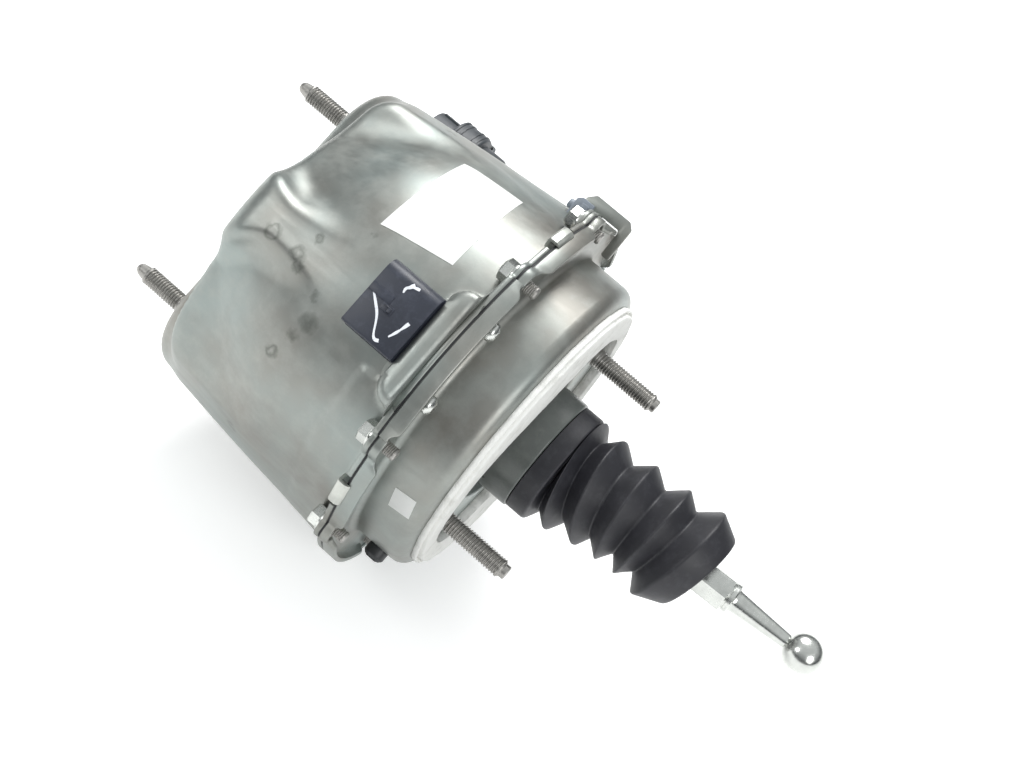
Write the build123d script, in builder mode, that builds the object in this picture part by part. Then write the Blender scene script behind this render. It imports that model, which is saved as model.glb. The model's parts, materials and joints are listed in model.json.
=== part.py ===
from build123d import *
import os
from math import cos, radians, sin, sqrt

# Electric brake booster: pressed steel housing, hollow-shaft motor, ball screw and push rod.
# Millimetres. Origin at the centre of the rear mounting face. +Y runs along the booster axis towards
# the master cylinder, the pedal side is -Y, and +Z is up. Angles go from +X towards +Z.

os.makedirs("parts", exist_ok=True)

# Sheet metal housing
sheet = 2.0
body_radius = 76.5
nose_radius = body_radius - 6
taper_start = 74.0
low_face = 125.0
bridge_face = 133.5
flange_face = 30.0
seal_thickness = 0.8
front_corner = 9.0
bridge_half_length = body_radius - 6
bridge_half_width = 26.5
bridge_draft = 6.7
bridge_edge = 7.5
bridge_angle = 45.0
dent_start = 80.5
dent_low_radius = body_radius - 20.5
dent_flank = 33.0
ridge_half_width = 9.5
ridge_shift = 1.5
dish_radius = body_radius - 6.5
dish_corner = 6.0
pocket_radius = 33.0
pocket_depth = 3.5
lip_depth = 6.0

# Flange outline and its fixings
flange_radius = body_radius + 8.5
ear_radius = 6.5
screw_circle = flange_radius - 3
screw_offset = 18.0
screw_radius = 2.5
screw_head_radius = 5.2
screw_head_flats = 8.0
screw_head_height = 4.0
screw_washer = 1.2
screw_tail = 10.5
tab_half_width = 6.5
tab_thickness = 1.4
pad_radius = flange_radius + 5
pad_half_width = 36.0

# Connector bulge on the front shell
bulge_angle = 135.0
bulge_distance = body_radius + 11.5
bulge_front = 40.0
bulge_half_width = 25.0
bulge_shift = 2.0
bulge_corner = 8.0
bulge_edge = 3.0

# Studs
stud_radius = 4.0
front_stud_circle = 49.8
front_stud_length = 29.9
front_stud_angle = 45.0
rear_stud_circle = 47.3
rear_stud_length = 32.5
rear_stud_angle = 24.6
stud_head_radius = 7.0
stud_head_height = 4.0
stud_shank_radius = 4.4
stud_clearance = 0.05
plate_thickness = 3.0

# Rear face
gasket_thickness = 4.0
gasket_radius = dish_radius - 5
gasket_slot_half_length = 54.0
gasket_slot_half_width = 34.0
sleeve_radius = 25.5
sleeve_bore = 17.5
sleeve_rear = 13.2
spigot_radius = 21.5
spigot_rear = 21.0
sleeve_tube_radius = 21.0
sleeve_front = 30.0
sleeve_flange = 4.0
master_bore = 22.0
master_collar = 8.0

# Clearances
running = 0.06
slip = 0.1
soft_gap = 0.3
press = 0.02

# Stroke and push rod
pivot_y = 7.0
rod_tilt = 3.4
rod_ball_radius = 6.5
socket_clearance = 0.06
rod_neck_radius = 4.0
rod_radius = 5.0
rod_thread_radius = 4.0
hex_flats = 13.0
hex_start = 86.0
hex_end = 110.5
taper_root_radius = 4.4
taper_tip_radius = 2.6
ball_distance = 143.2
ball_radius = 8.0

# Bellows
band_radius = 24.8
boot_wall = 1.8

# Motor
plate_rear = 44.0
plate_front = 50.0
carrier_radius = body_radius - 17.5
carrier_wall = 3.0
carrier_front = 105.0
core_rear = 62.0
core_front = 99.0
yoke_inner = carrier_radius - 9.5
stator_bore = yoke_inner - 10.2
tooth_count = 12
tooth_width = 9.0
slot_opening = 3.5
shoe_height = 3.0
coil_overhang = 4.5
magnet_outer = stator_bore - 0.8
magnet_inner = magnet_outer - 5.5
magnet_count = 10
magnet_gap = 2.4
hub_journal = 20.0
hub_rear = 47.0
hub_front = 117.5
nut_outer = 17.0
nut_rear = 56.0
nut_front = 95.0

# Bearings, the same size at both ends
race_outer = 31.0
race_outer_bore = 28.0
race_inner_outer = 23.0
race_width = 9.0
ball_bearing_radius = 3.0
ball_circle = 25.5
bearing_balls = 11
groove_gap = 0.05
rear_race_y = 46.8
front_race_y = 105.2

# Spindle
spindle_radius = 12.5
spindle_rear = 22.0
head_radius = 15.0
head_rear = 121.0
head_front = 128.0
cup_radius = 11.5
cup_floor = 121.5
disc_front = 125.5
output_rod_radius = 5.0
output_tip = 146.0
lug_width = 3.8
lug_reach = 10.8
groove_depth_radius = 10.5
groove_rear = 82.0
guide_plate_rear = 118.0
guide_plate_front = 120.0
guide_plate_radius = 34.5

# Plunger and springs
plunger_rear = -12.0
plunger_flange = 6.0
plunger_neck_radius = 11.5
neck_front = 15.0
stem_radius = 6.5
spring_mean_radius = 15.0
spring_wire_radius = 1.2
spring_turns = 5
seat_thickness = 1.5

# Electronics
board_rear = 20.0
board_thickness = 1.6
board_radius = body_radius - 12.5
board_hole = 30.0
post_circle = board_radius - 7
post_radius = 3.5
board_screw_radius = 1.4
capacitor_radius = 8.0
capacitor_height = 20.0
capacitor_circle = 46.0
module_angle = 45.0

# Signal connector, along the axis on the bulge
header_half_width = 14.2
header_outer = bulge_distance + 2
header_inner = bulge_distance - 10.2
header_front = 62.5
header_wall = 1.8
header_floor = 46.0
header_base_rear = 33.0
pin_side = 1.0
pin_tip = 53.5

# Power connector, on the far side
power_angle = 12.0
power_circle = body_radius + 13.5
power_rear = 88.5
power_collar_rear = 99.5
power_collar_front = 113.5
power_front = 124.5
power_body_radius = 12.5
power_collar_radius = 15.5
power_nose_radius = 12.0
power_mouth_radius = 9.4
power_mouth_depth = 24.5
neck_half_width = 8.5
neck_half_length = 7.6
neck_centre = 101.0
lead_circle = body_radius - 9.1
lead_radius = 1.2
lead_step = 5.6

# Bracket
bracket_angle = 58.0
bracket_sheet = 1.6
bracket_reach = flange_radius + 6

# Values that follow from the ones above
rear_flange_front = flange_face - sheet - seal_thickness
rear_flange_rear = rear_flange_front - sheet
lip_rear = rear_flange_front - lip_depth
board_front = board_rear + board_thickness
coil_rear = core_rear - coil_overhang
coil_front = core_front + coil_overhang
screw_angles = [quarter + side * screw_offset for quarter in (0, 90, 180, 270) for side in (-1, 1)]
bracket_screw = 90 - screw_offset


def across(y):
    """Sketch plane across the axis at y, with local x = X and local y = Z; extrudes towards -Y."""
    return Plane.XZ.offset(-y)


def side_plane(angle, radius):
    """Plane tangent to a cylinder: local x runs along the axis, local y round it, outwards is up."""
    c, s = cos(radians(angle)), sin(radians(angle))
    return Plane(origin=(radius * c, 0, radius * s), x_dir=(0, 1, 0), z_dir=(c, 0, s))


def radial_plane(angle):
    """Plane that holds the axis: local x is the radius, local y runs along the axis."""
    c, s = cos(radians(angle)), sin(radians(angle))
    return Plane(origin=(0, 0, 0), x_dir=(c, 0, s), z_dir=(-s, 0, c))


def spot(radius, angle):
    """Point of an across() sketch at a radius and an angle."""
    return (radius * cos(radians(angle)), radius * sin(radians(angle)))


def spot_direction(angle):
    """Unit vector away from the axis at an angle."""
    return (cos(radians(angle)), 0, sin(radians(angle)))


def turned(points, mode=Mode.ADD):
    """Revolve a closed outline of (y, radius) points about the booster axis."""
    with BuildSketch(Plane.YZ) as outline:
        with BuildLine():
            Polyline(*points, close=True)
        make_face()
    return revolve(outline.sketch, axis=Axis.Y, mode=mode)


def ring(y_low, y_high, inner, outer, mode=Mode.ADD):
    """Plain ring or tube about the booster axis."""
    return turned([(y_low, inner), (y_high, inner), (y_high, outer), (y_low, outer)], mode)


def disc(y_low, y_high, radius, mode=Mode.ADD):
    """Plain solid cylinder about the booster axis."""
    return ring(y_low, y_high, 0, radius, mode)


def flange_outline(inset=0.0):
    """Flange outline: a circle with an ear at each screw and a pad beside the connector bulge."""
    with BuildSketch(Plane.XY) as outline:
        Circle(flange_radius - inset)
        with Locations(*[spot(screw_circle, a) for a in screw_angles]):
            Circle(ear_radius - inset)
        with Locations(spot(pad_radius - 12, bulge_angle)):
            Rectangle(24, 2 * (pad_half_width - inset), rotation=bulge_angle)
        Circle(pad_radius - inset, mode=Mode.INTERSECT)
    return outline.sketch


def front_form(inset):
    """Solid inside the front shell's skin, moved inwards by inset."""
    with BuildPart() as bridge:
        with BuildSketch(across(bridge_face - inset)):
            SlotOverall(
                2 * (bridge_half_length - inset), 2 * (bridge_half_width - inset), rotation=bridge_angle
            )
        extrude(amount=bridge_face - inset - dent_start - 15, taper=-bridge_draft)
        fillet(bridge.edges().group_by(Axis.Y)[-1], radius=bridge_edge - inset)
    with BuildPart() as bulge:
        with BuildSketch(side_plane(bulge_angle, 60)) as foot:
            with Locations(((bulge_front - inset + flange_face - sheet) / 2, bulge_shift)):
                Rectangle(bulge_front - inset - flange_face + sheet, 2 * (bulge_half_width - inset))
            fillet(foot.vertices().sort_by(Axis.X)[-2:], bulge_corner - inset)
        extrude(amount=bulge_distance - inset - 60)
        outer = bulge.faces().sort_by(Axis((0, 0, 0), spot_direction(bulge_angle)))[-1]
        rim = outer.edges().sort_by(Axis.Y)[1:]
        fillet(rim, bulge_edge - inset)
    with BuildPart() as dents:
        dent_slope = (body_radius - dent_low_radius) / (low_face - dent_start)
        drop = inset * sqrt(1 + dent_slope**2)
        turned(
            [
                (dent_start - 10, body_radius - drop + 10 * dent_slope),
                (bridge_face + 10, body_radius - drop - (bridge_face + 10 - dent_start) * dent_slope),
                (bridge_face + 10, body_radius + 30),
                (dent_start - 10, body_radius + 30),
            ]
        )
        flank = dent_flank - inset
        ridge_low = ridge_shift - ridge_half_width + inset
        ridge_high = ridge_shift + ridge_half_width - inset
        block(bridge_angle, -120, 120, -flank, flank, 50, 160, Mode.SUBTRACT)
        block(bridge_angle + 90, -120, 120, ridge_low, ridge_high, 50, 160, Mode.SUBTRACT)
        block(bridge_angle, 0, 120, -120, 0, 50, 160, Mode.SUBTRACT)
    with BuildPart() as form:
        with BuildSketch(Plane.YZ) as side:
            with BuildLine():
                Polyline(
                    (flange_face - sheet, 0),
                    (flange_face - sheet, body_radius - inset),
                    (taper_start, body_radius - inset),
                    (low_face - inset, nose_radius - inset),
                    (low_face - inset, 0),
                    close=True,
                )
            make_face()
            fillet(side.vertices().sort_by(Axis.X)[-2:].sort_by(Axis.Y)[-1], front_corner - inset)
        revolve(axis=Axis.Y)
        add(dents.part, mode=Mode.SUBTRACT)
        add(bridge.part)
        add(bulge.part)
    return form.part


def rear_form(inset):
    """Solid inside the rear shell's dish, moved inwards by inset."""
    with BuildPart() as form:
        with BuildSketch(Plane.YZ) as side:
            with BuildLine():
                Polyline(
                    (rear_flange_front, 0),
                    (rear_flange_front, dish_radius - inset),
                    (inset, dish_radius - inset),
                    (inset, pocket_radius + inset),
                    (pocket_depth + inset, pocket_radius + inset - 1),
                    (pocket_depth + inset, 0),
                    close=True,
                )
            make_face()
            fillet(side.vertices().sort_by(Axis.X)[:2].sort_by(Axis.Y)[-1], dish_corner - inset)
        revolve(axis=Axis.Y)
    return form.part


def circles(y, radius, places):
    """Sketch of equal circles across the axis at y."""
    with BuildSketch(across(y)) as spots:
        with Locations(*places):
            Circle(radius)
    return spots.sketch


def pegs(y_low, y_high, radius, places, mode=Mode.ADD):
    """Equal cylinders parallel to the axis between y_low and y_high."""
    return extrude(circles(y_high, radius, places), amount=y_high - y_low, mode=mode)


def block(angle, r_low, r_high, t_low, t_high, y_low, y_high, mode=Mode.ADD):
    """Box square to the radius at an angle; t is measured along the growing angle."""
    with BuildSketch(side_plane(angle, r_low)) as foot:
        with Locations(((y_low + y_high) / 2, (t_low + t_high) / 2)):
            Rectangle(y_high - y_low, t_high - t_low)
    return extrude(foot.sketch, amount=r_high - r_low, mode=mode)


def along_rod(distance):
    """Plane across the input rod at a distance behind its pivot; extrudes towards the pedal."""
    lean = radians(rod_tilt)
    return Plane(
        origin=(0, pivot_y - distance * cos(lean), distance * sin(lean)),
        x_dir=(1, 0, 0),
        z_dir=(0, -cos(lean), sin(lean)),
    )


def rod_turned(points, mode=Mode.ADD):
    """Revolve a closed outline of (distance behind the pivot, radius) points about the input rod."""
    lean = radians(rod_tilt)
    rod_axis = (0, -cos(lean), sin(lean))
    with BuildSketch(Plane(origin=(0, pivot_y, 0), x_dir=rod_axis, z_dir=(1, 0, 0))) as outline:
        with BuildLine():
            Polyline(*points, close=True)
        make_face()
    return revolve(outline.sketch, axis=Axis((0, pivot_y, 0), rod_axis), mode=mode)


front_stud_places = [spot(front_stud_circle, a) for a in (front_stud_angle, front_stud_angle + 180)]
rivet_places = [spot(flange_radius - 5, bulge_angle + turn) for turn in (-12, 12)]
rear_stud_places = [spot(rear_stud_circle, a) for a in (rear_stud_angle, rear_stud_angle + 180)]
screw_places = [spot(screw_circle, a) for a in screw_angles]
stud_hole_radius = stud_shank_radius + stud_clearance

# Front shell: one drawn sheet with a raised bridge for the studs, four flats and the bulge
with BuildPart() as front_shell:
    with BuildSketch(across(flange_face)):
        add(flange_outline())
    extrude(amount=sheet)
    add(front_form(0))
    add(front_form(sheet), mode=Mode.SUBTRACT)
    ring(bridge_face - master_collar, bridge_face, master_bore, master_bore + sheet)
    disc(bridge_face - sheet - 1, bridge_face + 1, master_bore, Mode.SUBTRACT)
    pegs(bridge_face - sheet - 1, bridge_face + 1, stud_hole_radius, front_stud_places, Mode.SUBTRACT)
    pegs(flange_face - sheet - 1, flange_face + 1, screw_radius + 0.25, screw_places, Mode.SUBTRACT)
    block(
        bulge_angle,
        header_inner - slip,
        bulge_distance - sheet,
        -header_half_width - slip,
        header_half_width + slip,
        bulge_front - sheet - 1,
        bulge_front + 1,
        Mode.SUBTRACT,
    )
    block(
        power_angle,
        body_radius - 12,
        body_radius + 5,
        -neck_half_width - soft_gap,
        neck_half_width + soft_gap,
        neck_centre - neck_half_length - soft_gap,
        neck_centre + neck_half_length + soft_gap,
        Mode.SUBTRACT,
    )

# Rear shell: dish, flange with a turned-back lip, and four tabs bent over the front flange
with BuildPart() as rear_shell:
    with BuildSketch(across(rear_flange_front)):
        add(flange_outline())
    extrude(amount=sheet)
    with BuildSketch(across(rear_flange_front)) as lip:
        add(flange_outline())
        add(flange_outline(sheet), mode=Mode.SUBTRACT)
    extrude(amount=lip_depth)
    add(rear_form(0))
    add(rear_form(sheet), mode=Mode.SUBTRACT)
    disc(-1, pocket_depth + sheet + 1, sleeve_radius + 0.15, Mode.SUBTRACT)
    pegs(-1, sheet + 1, stud_hole_radius, rear_stud_places, Mode.SUBTRACT)
    pegs(rear_flange_rear - 1, rear_flange_front + 1, screw_radius + stud_clearance, screw_places, Mode.SUBTRACT)
    pegs(rear_flange_rear - 1, rear_flange_front + 1, 1.65, rivet_places, Mode.SUBTRACT)
    for tab_angle in (0, 90, 180, 270):
        tab_wall = flange_radius + slip
        tab_outer = tab_wall + tab_thickness
        block(tab_angle, tab_wall - 3, tab_outer, -tab_half_width, tab_half_width, rear_flange_rear, rear_flange_front)
        block(tab_angle, tab_wall, tab_outer, -tab_half_width, tab_half_width, rear_flange_rear, flange_face + 1.5)
        block(
            tab_angle,
            flange_radius - 3.5,
            tab_outer,
            -tab_half_width,
            tab_half_width,
            flange_face + 0.05,
            flange_face + 0.05 + tab_thickness,
        )
    with BuildSketch(side_plane(222, dish_radius - sheet - 1)):
        with Locations((12.5, 0)):
            Circle(1.8)
    extrude(amount=sheet + 2, mode=Mode.SUBTRACT)

# Seal between the flanges, cut to the mouth of the front shell
with BuildPart() as housing_seal:
    with BuildSketch(across(flange_face - sheet)):
        add(flange_outline(0.4))
        Circle(body_radius - sheet, mode=Mode.SUBTRACT)
        with Locations(*screw_places):
            Circle(screw_radius + 0.25, mode=Mode.SUBTRACT)
    extrude(amount=seal_thickness)
    block(
        bulge_angle,
        60,
        bulge_distance - sheet,
        bulge_shift - bulge_half_width + sheet,
        bulge_shift + bulge_half_width - sheet,
        rear_flange_front - 1,
        flange_face,
        Mode.SUBTRACT,
    )

# Flange screws; one of them also clamps the bracket foot
with BuildPart() as flange_screws:
    for angle in screw_angles:
        seat = flange_face + (bracket_sheet if angle == bracket_screw else 0)
        place = [spot(screw_circle, angle)]
        pegs(seat, seat + screw_washer, screw_head_radius, place)
        with BuildSketch(across(seat + screw_head_height + screw_washer)) as head:
            with Locations(*place):
                RegularPolygon(screw_head_flats / 2, 6, major_radius=False, rotation=angle)
        extrude(amount=screw_head_height)
        pegs(flange_face - screw_tail, seat, screw_radius, place)

with BuildPart() as connector_rivets:
    pegs(rear_flange_rear - 3, rear_flange_rear, 3.9, rivet_places)
    fillet(connector_rivets.edges().group_by(Axis.Y)[0], 1.6)
    pegs(rear_flange_rear, rear_flange_front, 1.6, rivet_places)
    pegs(rear_flange_front, rear_flange_front + 1.2, 2.6, rivet_places)

# Stud pads and studs of the master cylinder
pad_front = bridge_face - sheet
pad_rear = pad_front - plate_thickness
with BuildPart() as front_reinforcement:
    with BuildSketch(across(pad_front)):
        SlotOverall(2 * 60, 2 * 18.4, rotation=bridge_angle)
        Circle(master_bore + sheet + 1, mode=Mode.SUBTRACT)
        with Locations(*front_stud_places):
            Circle(stud_hole_radius, mode=Mode.SUBTRACT)
    extrude(amount=plate_thickness)

front_stud_tip = bridge_face + front_stud_length
with BuildPart() as master_cylinder_studs:
    pegs(pad_rear - stud_head_height, pad_rear, stud_head_radius, front_stud_places)
    pegs(pad_rear, bridge_face, stud_shank_radius, front_stud_places)
    pegs(bridge_face, front_stud_tip, stud_radius, front_stud_places)
    chamfer(master_cylinder_studs.edges().group_by(Axis.Y)[-1], 1.4)

# Rear reinforcement, bulkhead studs and gasket
reinforcement_front = sheet + plate_thickness
with BuildPart() as rear_reinforcement:
    ring(sheet, reinforcement_front, pocket_radius + sheet + 1, 60)
    pegs(0, reinforcement_front + 1, stud_hole_radius, rear_stud_places, Mode.SUBTRACT)

with BuildPart() as bulkhead_studs:
    pegs(reinforcement_front, reinforcement_front + stud_head_height, stud_head_radius, rear_stud_places)
    pegs(0, reinforcement_front, stud_shank_radius, rear_stud_places)
    pegs(2.5 - rear_stud_length, 0, stud_radius, rear_stud_places)
    pegs(-rear_stud_length, 3 - rear_stud_length, stud_radius - 0.8, rear_stud_places)

with BuildPart() as bulkhead_gasket:
    with BuildSketch(across(0)):
        Circle(gasket_radius)
        SlotOverall(
            2 * gasket_slot_half_length,
            2 * gasket_slot_half_width,
            rotation=rear_stud_angle,
            mode=Mode.SUBTRACT,
        )
    extrude(amount=gasket_thickness)

# Guide sleeve through the rear face
sleeve_seat = pocket_depth + sheet
with BuildPart() as guide_sleeve:
    turned(
        [
            (-spigot_rear, sleeve_bore),
            (-spigot_rear, spigot_radius - 1),
            (-spigot_rear + 1, spigot_radius),
            (-sleeve_rear, spigot_radius),
            (-sleeve_rear, sleeve_radius - 0.8),
            (-sleeve_rear + 0.8, sleeve_radius),
            (sleeve_seat, sleeve_radius),
            (sleeve_seat, pocket_radius - 0.5),
            (sleeve_seat + sleeve_flange, pocket_radius - 0.5),
            (sleeve_seat + sleeve_flange, sleeve_tube_radius),
            (sleeve_front, sleeve_tube_radius),
            (sleeve_front, sleeve_bore),
        ]
    )

# Bellows: ruled folds through tilted rings, the band at the sleeve end
# Each ring: distance behind the rear face, height, tilt in degrees, radius
boot_rings = [
    (21.5, 0.0, 0, 24.6),
    (23.6, 0.5, -6, 18.5),
    (27.2, 1.8, -13, 24.2),
    (31.5, 2.4, -17, 17.0),
    (38.5, 3.2, -17, 22.8),
    (44.3, 3.9, -13, 16.2),
    (51.3, 4.6, -8, 22.0),
    (57.4, 5.2, -1, 15.8),
    (63.4, 5.7, 4, 22.2),
    (69.5, 6.0, 9, 16.8),
    (76.0, 6.0, 12, 24.0),
    (87.0, 5.7, 12, 18.5),
]


def boot_ring(back, height, tilt, radius):
    """Circle of the bellows, tilted about X with its top further back for a positive tilt."""
    lean = radians(tilt)
    plane = Plane(origin=(0, -back, height), x_dir=(1, 0, 0), z_dir=(0, -cos(lean), -sin(lean)))
    with BuildSketch(plane) as circle:
        Circle(radius)
    return circle.sketch


def boot_form(inset, end_move):
    """Ruled solid through the rings, with the radius cut by inset and the last ring moved forward."""
    rings = [(b, h, t, r - inset) for b, h, t, r in boot_rings]
    last = rings[-1]
    rings[-1] = (last[0] - end_move, last[1], last[2], last[3])
    return loft(sections=[boot_ring(*values) for values in rings], ruled=True)


with BuildPart() as boot_outer:
    boot_form(0, 0)
with BuildPart() as boot_inner:
    boot_form(boot_wall, boot_wall)

with BuildPart() as bellows:
    add(boot_outer.part)
    add(boot_inner.part, mode=Mode.SUBTRACT)
    ring(-22.0, -sleeve_rear - soft_gap, spigot_radius + soft_gap, band_radius)
    disc(-22.1, -21.2, spigot_radius - 0.7, Mode.SUBTRACT)
    with BuildSketch(along_rod(hex_start - 6)) as exit_hole:
        Circle(hex_flats / 2 / cos(radians(30)) + 0.4)
    extrude(amount=20, mode=Mode.SUBTRACT)

# Input rod with its inner ball, and the screwed-on ball end
with BuildPart() as input_rod:
    with Locations((0, pivot_y, 0)):
        Sphere(rod_ball_radius)
    rod_turned(
        [
            (0, 0),
            (0, rod_neck_radius),
            (10, rod_neck_radius),
            (12, rod_radius),
            (hex_start - 14, rod_radius),
            (hex_start - 13, rod_thread_radius),
            (hex_start + 14, rod_thread_radius),
            (hex_start + 14, 0),
        ]
    )

with BuildPart() as ball_stud:
    with BuildSketch(along_rod(hex_start)):
        RegularPolygon(hex_flats / 2, 6, major_radius=False)
        Circle(rod_thread_radius + press, mode=Mode.SUBTRACT)
    extrude(amount=hex_end - 9 - hex_start)
    with BuildSketch(along_rod(hex_end - 9)):
        RegularPolygon(hex_flats / 2, 6, major_radius=False)
    extrude(amount=9)
    rod_turned(
        [
            (hex_end - 1, 0),
            (hex_end - 1, 5.8),
            (hex_end + 1.2, taper_root_radius),
            (ball_distance - 5, taper_tip_radius),
            (ball_distance, taper_tip_radius),
            (ball_distance, 0),
        ]
    )
    with Locations(along_rod(ball_distance)):
        Sphere(ball_radius)

# Plunger: slides in the sleeve, holds the rod's ball, and reaches the reaction disc
socket_radius = rod_ball_radius + socket_clearance
mouth = 3.4
with BuildPart() as plunger:
    turned(
        [
            (plunger_rear, 0),
            (plunger_rear, sleeve_bore - running),
            (plunger_rear + plunger_flange, sleeve_bore - running),
            (plunger_rear + plunger_flange, plunger_neck_radius),
            (neck_front, plunger_neck_radius),
            (neck_front, stem_radius),
            (cup_floor - 0.2, stem_radius),
            (cup_floor - 0.2, 0),
        ]
    )
    turned(
        [(plunger_rear - 1, 0), (plunger_rear - 1, 10.3), (pivot_y - mouth, 5.6), (pivot_y - mouth, 0)],
        Mode.SUBTRACT,
    )
    with Locations((0, pivot_y, 0)):
        Sphere(socket_radius, mode=Mode.SUBTRACT)
    pegs(plunger_rear + 2, plunger_rear + plunger_flange + 1, 2.0, [spot(14.2, 270)], Mode.SUBTRACT)

with BuildPart() as stroke_magnet:
    pegs(plunger_rear + 2, plunger_rear + plunger_flange - 0.3, 2.0 - press, [spot(14.2, 270)])

# Spring washers between plunger and spindle
with BuildPart() as input_spring:
    washer = (spindle_rear - neck_front) / 4
    for index in range(4):
        base = neck_front + index * washer
        wide, narrow = (base, base + washer - 0.9) if index % 2 else (base + washer - 0.9, base)
        turned(
            [
                (narrow, stem_radius + soft_gap),
                (narrow + 0.9, stem_radius + soft_gap),
                (wide + 0.9, plunger_neck_radius - 0.6),
                (wide, plunger_neck_radius - 0.6),
            ]
        )

# Return spring and its seat
seat_rear = plate_rear - seat_thickness
spring_rear = plunger_rear + plunger_flange + spring_wire_radius
spring_front = seat_rear - spring_wire_radius
spring_pitch = (spring_front - spring_rear) / spring_turns
with BuildPart() as return_spring:
    with BuildLine() as coil:
        Helix(
            pitch=spring_pitch,
            height=spring_front - spring_rear,
            radius=spring_mean_radius,
            center=(0, spring_rear, 0),
            direction=(0, 1, 0),
        )
    with BuildSketch(Plane(origin=coil.line @ 0, z_dir=coil.line % 0)):
        Circle(spring_wire_radius)
    sweep()

with BuildPart() as spring_seat:
    ring(seat_rear, plate_rear, spindle_radius + 0.7, spring_mean_radius + 3.5)

# Spindle with its cupped head, reaction disc and output rod
with BuildPart() as spindle:
    turned(
        [
            (spindle_rear, stem_radius + running),
            (spindle_rear, spindle_radius),
            (head_rear, spindle_radius),
            (head_rear, head_radius),
            (head_front, head_radius),
            (head_front, cup_radius),
            (cup_floor, cup_radius),
            (cup_floor, stem_radius + running),
        ]
    )
    for groove_angle in (0, 180):
        block(
            groove_angle,
            groove_depth_radius,
            head_radius + 2,
            -lug_width / 2 - slip,
            lug_width / 2 + slip,
            groove_rear,
            head_rear,
            Mode.SUBTRACT,
        )

with BuildPart() as reaction_disc:
    disc(cup_floor + slip, disc_front, cup_radius - slip)

with BuildPart() as output_rod:
    turned(
        [
            (disc_front + 0.05, 0),
            (disc_front + 0.05, cup_radius - slip),
            (head_front, cup_radius - slip),
            (head_front + 1.5, output_rod_radius + 1.5),
            (head_front + 1.5, output_rod_radius),
            (output_tip - 2, output_rod_radius),
            (output_tip, output_rod_radius - 2.5),
            (output_tip, 0),
        ]
    )

# Rotor: ball nut, hub, magnets and the sensor's magnet ring
with BuildPart() as ball_nut:
    ring(nut_rear, nut_front, spindle_radius + running, nut_outer - press)

with BuildPart() as rotor_hub:
    turned(
        [
            (hub_rear, nut_outer),
            (hub_rear, hub_journal),
            (rear_race_y + race_width + soft_gap, hub_journal),
            (rear_race_y + race_width + soft_gap, race_inner_outer + 0.5),
            (core_rear - 2, race_inner_outer + 0.5),
            (core_rear - 2, magnet_inner),
            (core_front + 2, magnet_inner),
            (core_front + 2, race_inner_outer + 0.5),
            (front_race_y - soft_gap, race_inner_outer + 0.5),
            (front_race_y - soft_gap, hub_journal),
            (hub_front, hub_journal),
            (hub_front, nut_outer - 2),
            (nut_front + 2, nut_outer - 2),
            (nut_front + 2, nut_outer),
        ]
    )

with BuildPart() as rotor_magnets:
    ring(core_rear + 2, core_front - 2, magnet_inner + press, magnet_outer)
    for index in range(magnet_count):
        block(
            (index + 0.5) * 360 / magnet_count,
            magnet_inner - 2,
            magnet_outer + 2,
            -magnet_gap / 2,
            magnet_gap / 2,
            core_rear,
            core_front,
            Mode.SUBTRACT,
        )

with BuildPart() as position_magnet_ring:
    ring(front_race_y + race_width + soft_gap, hub_front, hub_journal + press, hub_journal + 4)


def race(y, inner, outer, mode=Mode.ADD):
    """Bearing ring that starts at y, with the groove of the balls turned into it."""
    ring(y, y + race_width, inner, outer, mode)
    with BuildSketch(Plane.YZ) as groove:
        with Locations((y + race_width / 2, ball_circle)):
            Circle(ball_bearing_radius + groove_gap)
    return revolve(groove.sketch, axis=Axis.Y, mode=Mode.SUBTRACT)


with BuildPart() as rear_outer_race:
    race(rear_race_y, race_outer_bore, race_outer)
with BuildPart() as rear_inner_race:
    race(rear_race_y, hub_journal + press, race_inner_outer)
with BuildPart() as front_outer_race:
    race(front_race_y, race_outer_bore, race_outer)
with BuildPart() as front_inner_race:
    race(front_race_y, hub_journal + press, race_inner_outer)

ball_places = [spot(ball_circle, index * 360 / bearing_balls) for index in range(bearing_balls)]
with BuildPart() as rear_bearing_balls:
    with Locations(*[(x, rear_race_y + race_width / 2, z) for x, z in ball_places]):
        Sphere(ball_bearing_radius)
with BuildPart() as front_bearing_balls:
    with Locations(*[(x, front_race_y + race_width / 2, z) for x, z in ball_places]):
        Sphere(ball_bearing_radius)

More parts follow.
